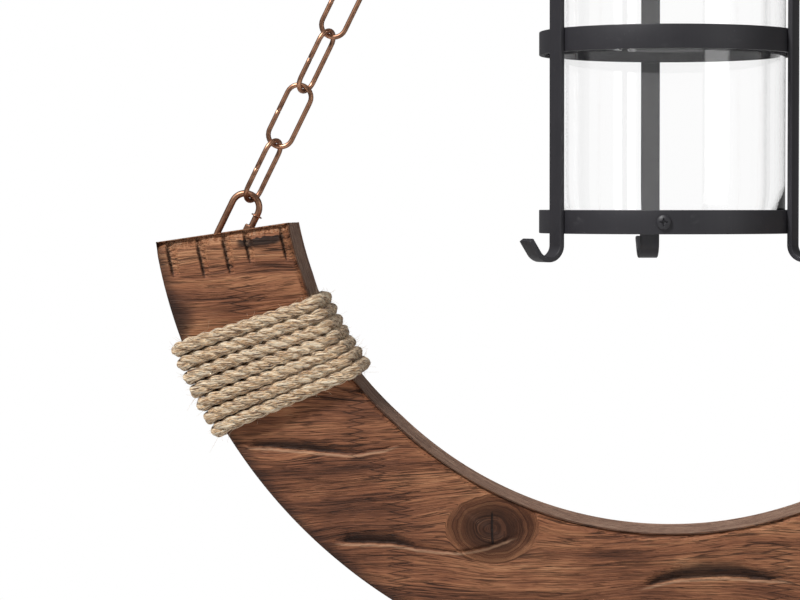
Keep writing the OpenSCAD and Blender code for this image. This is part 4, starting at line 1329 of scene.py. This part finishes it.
def stained_wood(look):
    """Dark brushed wood with its grain, knots, finger joints and hewn edges, with painted shade in
    the gouge hollows and cut walls and a painted highlight on the gouge lips and cut floors.
    """
    p = Paint("stained_wood", Specular_IOR_Level=0.2)
    x, y, z = p.millimetres()
    z = z - WHEEL_Z
    # The hewn marks carry painted shade, a painted highlight and the region of each face.
    hollow_shade, wear_and_highlight, region = p.parts(p.marks("hewn"))
    height, rings, inside, crack = knotted(p, x, y, z)
    sway = p.veins((x * 0.006, y * 0.01, z * 0.018), 2.0) * 26
    height = height + sway
    board = p.veins((x * 0.0022, y * 0.03, height * 0.07), 3.0, 0.55, 0.3)
    fibre_tone = p.veins((x * 0.02, y * 0.5, height * 0.95), 4.0, 0.66)
    hair_tone = p.veins((x * 0.1, y * 1.4, height * 3.4), 3.0, 0.66)
    pore = p.veins((x * 0.06, y * 0.9, height * 1.9), 2.0, 0.5).band(0.59, 0.66)
    dash = p.veins((x * 0.02, y * 0.1, height * 0.3), 1.0).band(0.4, 0.6)
    wide_line = p.veins((x * 0.005, y * 0.03, height * 0.17), 2.0) - 0.5
    wide_line = wide_line.math("ABSOLUTE").band(0.012, 0.002) * (0.35 + dash * 0.65)
    fine_line = p.veins((x * 0.012, y * 0.06, height * 0.5 + 9.0), 2.0) - 0.5
    fine_line = fine_line.math("ABSOLUTE").band(0.022, 0.004) * (0.2 + dash * 0.8)
    line = wide_line.math("MAXIMUM", fine_line * 0.9)
    ring_line = (rings * 1.5 + fibre_tone * 5).math("SINE").band(0.0, 1.0) * inside
    blotch = p.veins((x * 0.013, y * 0.02, z * 0.022), 3.0, 0.55)
    tone = (board - 0.5) * 0.75 + (fibre_tone - 0.5) * 0.5 + (blotch - 0.5) * 0.7
    tone = tone + (hair_tone - 0.5) * 0.6 + 0.63 + z * 0.0007
    colour = p.ramp(
        tone, (0.14, look.wood_dark), (0.34, look.wood_mid_dark), (0.48, look.wood_mid),
        (0.62, look.wood_light), (0.82, look.wood_pale),
    )
    groove = (pore * 0.6).math("MAXIMUM", line * 0.95)
    colour = p.mix(groove * 0.9, colour, look.wood_pore)
    colour = p.mix(inside.band(0.15, 1.0) * 0.75 + ring_line * 0.1, colour, look.wood_knot)
    joint = finger_joints(p, x, z, fibre_tone) * region.band(0.3, 0.05)
    colour = p.mix(joint * 0.6, colour, look.wood_pore)
    scorch, burn = scorched(p, x, z, blotch)
    front = region.band(0.3, 0.05)
    colour = p.mix(scorch * front * 0.92, colour, look.wood_scorch_and_shade)
    colour = p.mix(burn * front * 0.8, colour, look.wood_knot)
    outer_reach = (x * x + z * z) ** 0.5
    edge_dark = outer_reach.band(RIM_OUTER_R - 8.5, RIM_OUTER_R - 0.5)
    colour = p.mix(edge_dark * 0.6, colour, look.wood_scorch_and_shade)
    colour = p.mix(crack * inside * 0.85, colour, look.wood_scorch_and_shade)
    side_colour, long_fibre, chipped = inner_side(p, look, x, y, z)
    side = region.band(-0.3, -0.9)
    colour = p.mix(side, colour, side_colour)
    end_colour, end_tone, end_grain = end_wood(p, look, x, y, z)
    end = region.band(1.1, 1.9)
    colour = p.mix(end, colour, end_colour)
    # Painted shade in the gouge hollows, the pockets and on the steep walls of the cuts.
    colour = p.mix(hollow_shade.band(0.08, 0.85) * 0.86, colour, look.wood_scorch_and_shade)
    # Painted highlight on the gouge lips and the floors of the cuts.
    colour = p.mix(wear_and_highlight.band(0.2, 0.9) * 0.62, colour, look.wood_highlight)
    rough = 0.5 + fibre_tone * 0.16 + groove * 0.15 + end * 0.2 - scorch * 0.06
    p.feed(Base_Color=p.shade(colour, STAIN), Roughness=rough)
    relief = fibre_tone * 0.4 + hair_tone * 0.25 - groove * 0.6 - joint * 0.45
    relief = relief - ring_line * 0.3 - crack * inside * 1.0
    relief = relief * (1.0 - side) + side * (long_fibre * 1.5 + chipped * 0.5)
    relief = relief + end * (end_tone * 0.7 - end_grain * 0.25) + 0.5
    return p.bump(relief, 0.0012, 1.0)


def jute(look):
    """Twisted tan yarn: fine fibres that follow the yarn, with pale and dark ones among them, and
    painted shade in the gaps between them.
    """
    p = Paint("jute_rope", Specular_IOR_Level=0.15, Roughness=0.85)
    p.shader.inputs["Sheen Weight"].default_value = 0.25
    run, across, deep = p.parts(p.marks("lay"))
    yarn = p.veins((run * 0.06, across * 0.9, deep * 0.9), 1.0)
    fibre_tone = p.veins((run * 0.3, across * 2.6, deep * 2.6), 3.0, 0.62)
    fleck = p.veins((run * 0.55, across * 3.4, deep * 3.4), 2.0).band(0.55, 0.68)
    # Painted shade in the gaps between fibres; the bump sets these places back as well.
    gap = p.veins((run * 0.4 + 5.0, across * 2.4, deep * 2.4), 2.0).band(0.42, 0.3)
    tint = p.veins((run * 0.02, 0.0, 0.0), 3.0)
    tone = (fibre_tone - 0.5) * 2.7 + (yarn - 0.5) * 1.4 + (tint - 0.5) * 0.35 + 0.56
    colour = p.ramp(
        tone, (0.15, look.rope_dark_and_shade), (0.38, look.rope_mid), (0.58, look.rope_light),
        (0.8, look.rope_pale),
    )
    colour = p.mix(fleck * 0.5, colour, look.rope_pale)
    # Painted shade in the gaps between the fibres.
    colour = p.mix(gap * 0.85, colour, look.rope_dark_and_shade)
    p.feed(Base_Color=p.shade(colour, 0.95))
    return p.bump(fibre_tone * 0.9 + yarn * 1.0 + fleck * 0.3 - gap * 0.7, 0.0013, 1.0)


def stray_jute(look):
    p = Paint("jute_fibre", Specular_IOR_Level=0.2, Roughness=0.7)
    tint = p.noise(p.place, 300.0, 1.0)
    colour = p.ramp(tint, (0.4, look.rope_mid), (0.62, look.rope_pale))
    return p.feed(Base_Color=p.shade(colour, 0.85))


def black_iron(look):
    """Satin black paint with a faint grain, dust and rubbed streaks."""
    p = Paint("black_iron", Specular_IOR_Level=0.5)
    grain = p.noise(p.place, 2600.0, 2.0)
    cloud = p.noise(p.place, 38.0, 3.0, 0.6)
    x, y, z = p.millimetres()
    streak = p.veins((x * 0.9, y * 0.9, z * 0.05), 3.0, 0.6)
    dust = p.cells(p.place, 420.0).band(0.1, 0.04) * cloud.band(0.45, 0.62)
    rub = p.noise(p.place, 95.0, 4.0, 0.7, 0.6).band(0.62, 0.78)
    colour = p.mix(cloud * 0.55 + streak * 0.3, look.iron_dark, look.iron_light)
    colour = p.mix(dust * 0.4 + rub * 0.1, colour, look.iron_dust)
    p.feed(Base_Color=colour, Roughness=0.4 + grain * 0.1 + cloud * 0.12 + rub * 0.1)
    return p.bump(grain * 0.5 + cloud * 0.7 - dust * 0.2, 0.00009, 0.6)


def antique_copper(look):
    """Copper plating with brown patina and rubbed bright patches, spread at random."""
    p = Paint("antique_copper", Metallic=1.0)
    cloud = p.noise(p.place, 160.0, 4.0, 0.62)
    spots = p.noise(p.place, 900.0, 3.0, 0.6)
    patina = (cloud * 0.75 + spots * 0.15).band(0.3, 0.62)
    colour = p.mix(patina, look.copper_bright, look.copper_brown)
    colour = p.mix(spots.band(0.6, 0.75) * 0.5, colour, look.copper_dark)
    p.feed(Base_Color=colour, Roughness=0.36 + patina * 0.1 + spots * 0.04)
    return p.bump(cloud * 0.6 + spots * 0.3, 0.0001, 0.5)


def clear_glass(name):
    """Glass with a few faint dust specks."""
    p = Paint(name, Transmission_Weight=1.0, IOR=1.47)
    p.shader.inputs["Base Color"].default_value = WHITE
    specks = p.cells(p.place, 260.0).band(0.06, 0.02) * p.noise(p.place, 30.0, 2.0).band(0.5, 0.6)
    return p.feed(Roughness=specks * 0.4)


def plated_steel(look):
    """Zinc-plated steel with a faint crystal tint and turning marks."""
    p = Paint("plated_steel", Metallic=1.0)
    cloud = p.noise(p.place, 240.0, 3.0)
    fine = p.noise(p.stretched(p.place, (1, 1, 9)), 900.0, 2.0)
    colour = p.mix(cloud * 0.7, look.steel_light, look.steel_dark)
    p.feed(Base_Color=colour, Roughness=0.24 + fine * 0.2)
    return p.bump(fine, 0.00006, 0.5)


def brass(look):
    p = Paint("brass_parts", Metallic=1.0)
    cloud = p.noise(p.place, 200.0, 4.0, 0.6)
    fine = p.noise(p.place, 1500.0, 2.0)
    colour = p.mix(cloud.band(0.35, 0.7), look.brass_bright, look.brass_brown)
    p.feed(Base_Color=colour, Roughness=0.25 + cloud * 0.25)
    return p.bump(fine, 0.00006, 0.5)


def moulded(name, light, dark):
    """Moulded plastic with the fine texture of its tool."""
    p = Paint(name, Specular_IOR_Level=0.45)
    grain = p.noise(p.place, 1900.0, 3.0, 0.65)
    cloud = p.noise(p.place, 90.0, 2.0)
    p.feed(Base_Color=p.mix(cloud, dark, light), Roughness=0.36 + grain * 0.16)
    return p.bump(grain, 0.00007, 0.6)


def filament_glow(look):
    """Yellow coated filament with deeper yellow patches."""
    p = Paint("filament", Roughness=0.5)
    tint = p.noise(p.place, 700.0, 2.0)
    p.feed(Base_Color=p.mix(tint, look.filament_yellow, look.filament_orange))
    return p.bump(tint, 0.00008, 0.6)


def stage_white():
    p = Paint("studio_floor", Roughness=0.9)
    cloud = p.noise(p.place, 3.0, 2.0)
    return p.feed(Base_Color=p.mix(cloud, (0.9, 0.9, 0.9), (0.88, 0.88, 0.88)))


def colour(name, description, red, green, blue):
    return bpy.props.FloatVectorProperty(
        name=name, description=description, subtype="COLOR", size=3, min=0.0, max=1.0,
        default=srgb(red, green, blue),
    )


class ChandelierColours(bpy.types.PropertyGroup):
    """Colours that a user would change."""

    wood_dark: colour("Dark wood", "Dark bands of the grain", 62, 37, 26)
    wood_mid_dark: colour("Deep wood", "Deeper middle tone of the grain", 100, 61, 42)
    wood_mid: colour("Wood", "Middle tone of the grain", 134, 85, 59)
    wood_light: colour("Light wood", "Light bands of the grain", 162, 110, 77)
    wood_pale: colour("Pale wood", "Palest streaks of the grain", 198, 148, 110)
    wood_pore: colour("Pores", "Pores and glue lines", 26, 14, 11)
    wood_knot: colour("Knots", "Knots and darkened zones", 48, 28, 21)
    # Scorch colour, also used for the painted shade of the gouge hollows and cut walls.
    wood_scorch_and_shade: colour("Scorched wood", "Scorch marks, hollows and dark edges", 26, 18, 17)
    # Painted highlight on the gouge lips and cut floors.
    wood_highlight: colour("Wood highlight", "Painted highlight on the lips of the gouges and cuts", 186, 146, 116)
    end_pale: colour("Cut wood", "Pale end grain of the cut ends", 168, 128, 100)
    side_dark: colour("Dark inner side", "Dark fibres of the rim's inner side", 44, 30, 26)
    side_mid: colour("Inner side", "Middle tone of the rim's inner side", 140, 108, 90)
    side_light: colour("Light inner side", "Pale fibres of the rim's inner side", 196, 166, 144)
    # Dark fibre tone, also used for the painted shade in the gaps between fibres.
    rope_dark_and_shade: colour("Dark jute", "Dark fibres of the rope", 88, 54, 34)
    rope_mid: colour("Jute", "Middle tone of the rope", 198, 156, 114)
    rope_light: colour("Light jute", "Light tone of the rope", 240, 204, 158)
    rope_pale: colour("Pale jute", "Pale single fibres", 255, 238, 210)
    iron_dark: colour("Black iron", "Satin black paint", 27, 27, 31)
    iron_light: colour("Grey iron", "Greyer patches of the paint", 47, 45, 50)
    iron_dust: colour("Dust", "Dust and rubbed places on the paint", 118, 116, 116)
    copper_bright: colour("Bright copper", "Rubbed copper plating", 184, 138, 110)
    copper_brown: colour("Brown copper", "Brown patina", 112, 82, 66)
    copper_dark: colour("Dark copper", "Dark spots of the patina", 70, 48, 40)
    steel_light: colour("Steel", "Zinc plating", 196, 196, 194)
    steel_dark: colour("Grey steel", "Duller zinc", 150, 150, 150)
    brass_bright: colour("Brass", "Bright brass", 222, 188, 120)
    brass_brown: colour("Brown brass", "Dull brass", 168, 132, 78)
    filament_yellow: colour("Filament", "Yellow coating of the filaments", 236, 190, 84)
    filament_orange: colour("Deep filament", "Deeper yellow of the filaments", 214, 150, 50)


def amount(name, description, default, low, high, **options):
    return bpy.props.FloatProperty(
        name=name, description=description, default=default, min=low, max=high, **options
    )


class ChandelierSizes(bpy.types.PropertyGroup):
    """Sizes and amounts that a user would change."""

    rope_diameter: amount(
        "Rope diameter", "Thickness of the laid rope", 0.0088, 0.006, 0.0092, unit="LENGTH"
    )
    stray_fibres: bpy.props.IntProperty(
        name="Stray fibres", description="Loose fibres that stand off each rope",
        default=1100, min=0, max=3000,
    )
    key_power: amount(
        "Key light", "Power of the large light from the upper left", 124.0, 0.0, 500.0,
        unit="POWER",
    )
    fill_power: amount(
        "Fill light", "Power of the light from the right", 11.0, 0.0, 500.0, unit="POWER"
    )
    ambient: amount("Room light", "Soft light that comes from all round", 0.2, 0.0, 2.0)
    camera_lens: amount(
        "Focal length", "Focal length of the camera", 119.344, 20.0, 400.0,
        subtype="DISTANCE_CAMERA",
    )


BLACK_PLASTIC = ((0.028, 0.028, 0.03), (0.018, 0.018, 0.019))
IVORY_PLASTIC = ((0.74, 0.7, 0.6), (0.68, 0.63, 0.52))
FINISHES = {}


def finish_of(name):
    """The finish of that name, made when it is first asked for."""
    look = bpy.context.scene.chandelier_colours
    makers = {
        "stained_wood": lambda: stained_wood(look), "jute_rope": lambda: jute(look),
        "jute_fibre": lambda: stray_jute(look), "black_iron": lambda: black_iron(look),
        "antique_copper": lambda: antique_copper(look), "plated_steel": lambda: plated_steel(look),
        "clear_glass": lambda: clear_glass("clear_glass"),
        "bulb_glass": lambda: clear_glass("bulb_glass"),
        "filament": lambda: filament_glow(look), "brass_parts": lambda: brass(look),
        "black_plastic": lambda: moulded("black_plastic", *BLACK_PLASTIC),
        "ivory_plastic": lambda: moulded("ivory_plastic", *IVORY_PLASTIC),
    }
    if name not in FINISHES:
        FINISHES[name] = makers[name]()
    return FINISHES[name]


def fitted(name, part, finish, body, *nodes, **options):
    """A piece with the finish of that name."""
    slot = "jute_rope" if finish == "jute_fibre" else finish
    points, faces = part
    return piece(name, points, faces, finish_of(finish), body, *nodes, slot=slot, **options)


def lantern_piece(name, part, finish, *nodes, body="lantern", **options):
    """A piece whose heights are measured from the top of the hub plate."""
    return fitted(name, moved(part, z=HUB_TOP), finish, body, *nodes, **options)


class CHANDELIER_OT_rim(bpy.types.Operator):
    """Hewn wooden half wheel with its gouges, cuts and cut ends"""

    bl_idname = "chandelier.rim"
    bl_label = "Wooden rim"

    def execute(self, context):
        points, faces, marks = rim_with_ends()
        rim = (on_wheel(points), faces)
        fitted("rim", rim, "stained_wood", "wheel", "wheel_rim", marks={"hewn": marks})
        return {"FINISHED"}


class CHANDELIER_OT_ropes(bpy.types.Operator):
    """Laid rope wound round each end of the rim, with its loose fibres"""

    bl_idname = "chandelier.ropes"
    bl_label = "Rope bindings"

    def execute(self, context):
        sizes = context.scene.chandelier_sizes
        points, faces, marks, tops = rope_strands(sizes.rope_diameter / MM / 2)
        for name, side in SIDES.items():
            rope, node = (on_wheel(points, side), faces), f"rope_binding_{name}"
            fitted(f"rope_{name}", rope, "jute_rope", "wheel", node, marks={"lay": marks})
            hairs, hair_faces = stray_fibres(tops, sizes.stray_fibres, 7 + side)
            hairs = (on_wheel(hairs, side), hair_faces)
            fitted(f"rope_fibres_{name}", hairs, "jute_fibre", "wheel")
        return {"FINISHED"}


class CHANDELIER_OT_side_chains(bpy.types.Operator):
    """The two long-link chains from the ring to the rim's ends"""

    bl_idname = "chandelier.side_chains"
    bl_label = "Side chains"

    def execute(self, context):
        for name, side in SIDES.items():
            links = side_chain(side)
            fitted(f"side_chain_{name}", links, "antique_copper", "bridle", f"chain_{name}")
        return {"FINISHED"}


class CHANDELIER_OT_quick_links(bpy.types.Operator):
    """Quick links with their sleeve nuts"""

    bl_idname = "chandelier.quick_links"
    bl_label = "Quick links"

    def execute(self, context):
        middle = QUICK_FIRST + QUICK_LENGTH / 2
        for name, side in SIDES.items():
            bow, nut = (
                (on_chain_line(points, middle, side), faces)
                for points, faces in (quick_link(), sleeve_nut())
            )
            finish = "antique_copper"
            fitted(f"quick_link_bow_{name}", bow, finish, "bridle", f"quick_link_{name}")
            body, node = f"nut_{name}", f"link_nut_{name}"
            fitted(f"sleeve_nut_{name}", nut, finish, body, node, smooth=False)
        return {"FINISHED"}


class CHANDELIER_OT_screw_eyes(bpy.types.Operator):
    """Screw eyes in the pockets of the rim's ends"""

    bl_idname = "chandelier.screw_eyes"
    bl_label = "Screw eyes"

    def execute(self, context):
        for name, side in SIDES.items():
            points, faces = screw_eye()
            eye = (on_end_face(points, side), faces)
            fitted(f"eye_{name}", eye, "plated_steel", "wheel", f"screw_eye_{name}")
        return {"FINISHED"}


class CHANDELIER_OT_ceiling(bpy.types.Operator):
    """Canopy, hook, nut, sleeve for the lead and the ring that carries the chains"""

    bl_idname = "chandelier.ceiling"
    bl_label = "Ceiling fittings and ring"

    def execute(self, context):
        fitted("canopy_cover", canopy_shell(), "black_iron", "ceiling", "canopy")
        fitted("canopy_holding_nut", canopy_nut(), "black_iron", "ceiling", "canopy_nut")
        fitted("hook", ceiling_hook(), "black_iron", "ceiling", "ceiling_hook")
        points, faces = lead_sleeve(29, 36, 34, 36)
        sleeve = moved((points * [1, 1, -1], faces), *LEAD_PLACE)
        fitted("lead_bushing", sleeve, "black_plastic", "ceiling", "canopy_bushing")
        wire = (MASTER_RING_R, MASTER_WIRE_R)
        ring = joined(closed_wire_ring(*wire), weld_bead(*wire, 40))
        fitted("ring", moved(ring, z=RING_Z), "black_iron", "ring", "master_ring")
        return {"FINISHED"}


class CHANDELIER_OT_lantern_chain(bpy.types.Operator):
    """Short chain that carries the lantern"""

    bl_idname = "chandelier.lantern_chain"
    bl_label = "Lantern chain"

    def execute(self, context):
        fitted("short_chain", lantern_chain(), "antique_copper", "lantern_chain", "lantern_chain")
        return {"FINISHED"}


class CHANDELIER_OT_lantern_frame(bpy.types.Operator):
    """Loop, hub plate, three hooked bars, three rings and their screws"""

    bl_idname = "chandelier.lantern_frame"
    bl_label = "Lantern frame"

    def execute(self, context):
        low_ring = -RING_DROPS["lower_ring"]
        lantern_piece("loop", lantern_loop(), "black_iron", "lantern_loop")
        lantern_piece("hub_disc", hub_plate(), "black_iron", "lantern_hub", smooth=False)
        for name, azimuth in zip(("rear", "left", "right"), BAR_AZIMUTHS):
            bar = round_azimuths(flat_bar(), [azimuth])
            lantern_piece(f"bar_{name}", bar, "black_iron", f"lantern_bar_{name}")
        for name, drop in RING_DROPS.items():
            lantern_piece(f"cage_{name}", cage_ring(drop), "black_iron", name)
        screw = moved(joined(screw_head(), threaded(SCREW_R, -9.3, 0.3)), x=HUB_SCREW_AT)
        screws = round_azimuths(screw, BAR_AZIMUTHS)
        lantern_piece("hub_machine_screws", screws, "black_iron", "hub_screws")
        nut = moved(hexagon(*SCREW_NUT, -8.8, -6.0), x=HUB_SCREW_AT)
        nuts = round_azimuths(nut, BAR_AZIMUTHS)
        lantern_piece("hub_hex_nuts", nuts, "black_iron", "hub_nuts", smooth=False)
        screw = joined(screw_head(), threaded(SCREW_R, -GLASS_SCREW, 0.3))
        screws = round_azimuths(outward(screw, CAGE_R, low_ring), SCREW_AZIMUTHS)
        lantern_piece("glass_machine_screws", screws, "black_iron", "glass_screws")
        nut = outward(hexagon(*SCREW_NUT, -6.05, -3.25), CAGE_R, low_ring)
        nuts = round_azimuths(nut, SCREW_AZIMUTHS)
        lantern_piece("glass_hex_nuts", nuts, "black_iron", "glass_screw_nuts", smooth=False)
        nut = hexagon(14, 5.05, -6.0, -3.0)
        lantern_piece("nipple_hex_nut", nut, "plated_steel", "hub_lock_nut", smooth=False)
        return {"FINISHED"}


class CHANDELIER_OT_glass(bpy.types.Operator):
    """Clear glass cylinder inside the rings"""

    bl_idname = "chandelier.glass"
    bl_label = "Glass cylinder"

    def execute(self, context):
        lantern_piece("glass_tube", glass_tube(), "clear_glass", "glass_cylinder")
        return {"FINISHED"}


class CHANDELIER_OT_lampholder(bpy.types.Operator):
    """Lampholder with its cap and body, and the gland of the lead"""

    bl_idname = "chandelier.lampholder"
    bl_label = "Lampholder"

    def execute(self, context):
        lantern_piece("holder_cover", holder_cap(), "black_iron", "holder_cap")
        lantern_piece("holder_cup", holder_body(), "black_plastic", "holder_body")
        gland = moved(lead_sleeve(-6.8, 8, 0, 3), *LEAD_PLACE)
        lantern_piece("lead_gland", gland, "black_plastic", "cord_gland")
        nut = moved(hexagon(11, 4.05, -6.0, -3.0), *LEAD_PLACE)
        lantern_piece("gland_hex_nut", nut, "black_plastic", "gland_nut", smooth=False)
        return {"FINISHED"}


class CHANDELIER_OT_bulb(bpy.types.Operator):
    """Filament bulb with its screw cap"""

    bl_idname = "chandelier.bulb"
    bl_label = "Bulb"

    def execute(self, context):
        stem, rods = bulb_filaments()
        for name, part, finish, nodes in (
            ("bulb_envelope", bulb_envelope(), "bulb_glass", ["bulb_glass"]),
            ("bulb_screw_cap", bulb_cap(), "plated_steel", ["bulb_cap"]),
            ("bulb_stem", stem, "bulb_glass", []),
            ("bulb_filaments", rods, "filament", ["bulb_filament"]),
        ):
            lantern_piece(name, part, finish, *nodes, body="bulb")
        return {"FINISHED"}


CARRIED_NODES = {
    "ceiling_plate": "plated_steel", "hook_lock_nut": "plated_steel",
    "terminal_block": "ivory_plastic", "terminal_screws": "plated_steel",
    "block_screws": "plated_steel", "earth_screw": "brass_parts",
    "lantern_nipple": "plated_steel", "holder_shell": "brass_parts",
    "holder_contact": "brass_parts", "bulb_contact": "black_plastic",
}


class CHANDELIER_OT_carried_nodes(bpy.types.Operator):
    """Finishes of the small fittings whose CAD shape stays"""

    bl_idname = "chandelier.carried_nodes"
    bl_label = "Finishes of the small fittings"

    def execute(self, context):
        for node, finish in CARRIED_NODES.items():
            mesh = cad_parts[node].data
            mesh.materials.clear()
            mesh.materials.append(finish_of(finish).material)
        return {"FINISHED"}


def area_light(name, size, power, place, target):
    lamp = bpy.data.lights.new(name, "AREA")
    lamp.shape = "SQUARE"
    lamp.size = size
    lamp.energy = power
    obj = bpy.data.objects.new(name, lamp)
    bpy.context.scene.collection.objects.link(obj)
    obj.location = place
    aim = Vector(target) - Vector(place)
    obj.rotation_euler = aim.to_track_quat("-Z", "Y").to_euler()


# Stage: the floor in millimetres, the lights and the camera in metres.
FLOOR_Z = -1350.0
FLOOR_R = 2200.0
CAMERA_PLACE = (-0.0032, -1.59242, -0.61366)
CAMERA_TURN = (87.967, 0.0, 3.603)
CAMERA_SHIFT_X = -0.12
LIGHT_TARGET = (0.0, 0.0, -0.6)
KEY_SIZE, KEY_PLACE = 0.55, (-1.4, -1.6, 1.75)
FILL_SIZE, FILL_PLACE = 1.2, (2.0, -1.8, -0.2)
WHITE = (1.0, 1.0, 1.0, 1.0)


def white_world(scene, ambient):
    """White surroundings: full white behind the object, a softer light on it."""
    world = bpy.data.worlds.new("white_studio")
    scene.world = world
    world.use_nodes = True
    nodes, links = world.node_tree.nodes, world.node_tree.links
    room, backdrop = nodes["Background"], nodes.new("ShaderNodeBackground")
    room.inputs["Color"].default_value = WHITE
    room.inputs["Strength"].default_value = ambient
    backdrop.inputs["Color"].default_value = WHITE
    rays, either = nodes.new("ShaderNodeLightPath"), nodes.new("ShaderNodeMath")
    either.operation = "MAXIMUM"
    links.new(rays.outputs["Is Camera Ray"], either.inputs[0])
    links.new(rays.outputs["Is Transmission Ray"], either.inputs[1])
    choice = nodes.new("ShaderNodeMixShader")
    links.new(either.outputs[0], choice.inputs[0])
    links.new(room.outputs[0], choice.inputs[1])
    links.new(backdrop.outputs[0], choice.inputs[2])
    links.new(choice.outputs[0], nodes["World Output"].inputs[0])


def place_camera(scene, lens):
    camera = bpy.data.objects.new("camera", bpy.data.cameras.new("camera"))
    scene.collection.objects.link(camera)
    camera.location = CAMERA_PLACE
    camera.rotation_euler = [math.radians(turn) for turn in CAMERA_TURN]
    camera.data.sensor_width = 36.0
    camera.data.lens = lens
    camera.data.shift_x = CAMERA_SHIFT_X
    camera.data.clip_start = 0.05
    scene.camera = camera


class CHANDELIER_OT_stage(bpy.types.Operator):
    """Pale floor, white surroundings, soft lights and the camera"""

    bl_idname = "chandelier.stage"
    bl_label = "Stage, lights and camera"

    def execute(self, context):
        sizes = context.scene.chandelier_sizes
        scene = context.scene
        scene.view_settings.view_transform = "Standard"
        rings = [(0, FLOOR_Z), (FLOOR_R * 0.5, FLOOR_Z), (FLOOR_R, FLOOR_Z)]
        points, faces = lathe(rings, 96)
        piece("floor", points, faces, stage_white(), None)
        white_world(scene, sizes.ambient)
        area_light("key_light", KEY_SIZE, sizes.key_power, KEY_PLACE, LIGHT_TARGET)
        area_light("fill_light", FILL_SIZE, sizes.fill_power, FILL_PLACE, LIGHT_TARGET)
        place_camera(scene, sizes.camera_lens)
        return {"FINISHED"}


OPERATORS = [
    CHANDELIER_OT_stage, CHANDELIER_OT_rim, CHANDELIER_OT_ropes, CHANDELIER_OT_side_chains,
    CHANDELIER_OT_quick_links, CHANDELIER_OT_screw_eyes, CHANDELIER_OT_ceiling,
    CHANDELIER_OT_lantern_chain, CHANDELIER_OT_lantern_frame, CHANDELIER_OT_glass,
    CHANDELIER_OT_lampholder, CHANDELIER_OT_bulb, CHANDELIER_OT_carried_nodes,
]


class CHANDELIER_PT_pieces(bpy.types.Panel):
    """Lists the sizes, colours and pieces in the sidebar"""

    bl_idname = "CHANDELIER_PT_pieces"
    bl_label = "Half wheel chandelier"
    bl_space_type = "VIEW_3D"
    bl_region_type = "UI"
    bl_category = "Chandelier"

    def draw(self, context):
        layout = self.layout
        for group in (context.scene.chandelier_sizes, context.scene.chandelier_colours):
            column = layout.column(align=True)
            for key in group.__annotations__:
                column.prop(group, key)
        for operator in OPERATORS:
            layout.operator(operator.bl_idname)


CLASSES = [ChandelierColours, ChandelierSizes, *OPERATORS, CHANDELIER_PT_pieces]


def register():
    for cls in CLASSES:
        bpy.utils.register_class(cls)
    bpy.types.Scene.chandelier_colours = bpy.props.PointerProperty(type=ChandelierColours)
    bpy.types.Scene.chandelier_sizes = bpy.props.PointerProperty(type=ChandelierSizes)


def unregister():
    del bpy.types.Scene.chandelier_sizes
    del bpy.types.Scene.chandelier_colours
    for cls in reversed(CLASSES):
        bpy.utils.unregister_class(cls)


def main():
    register()
    for operator in OPERATORS:
        group, name = operator.bl_idname.split(".")
        getattr(getattr(bpy.ops, group), name)()


if __name__ == "__main__":
    main()
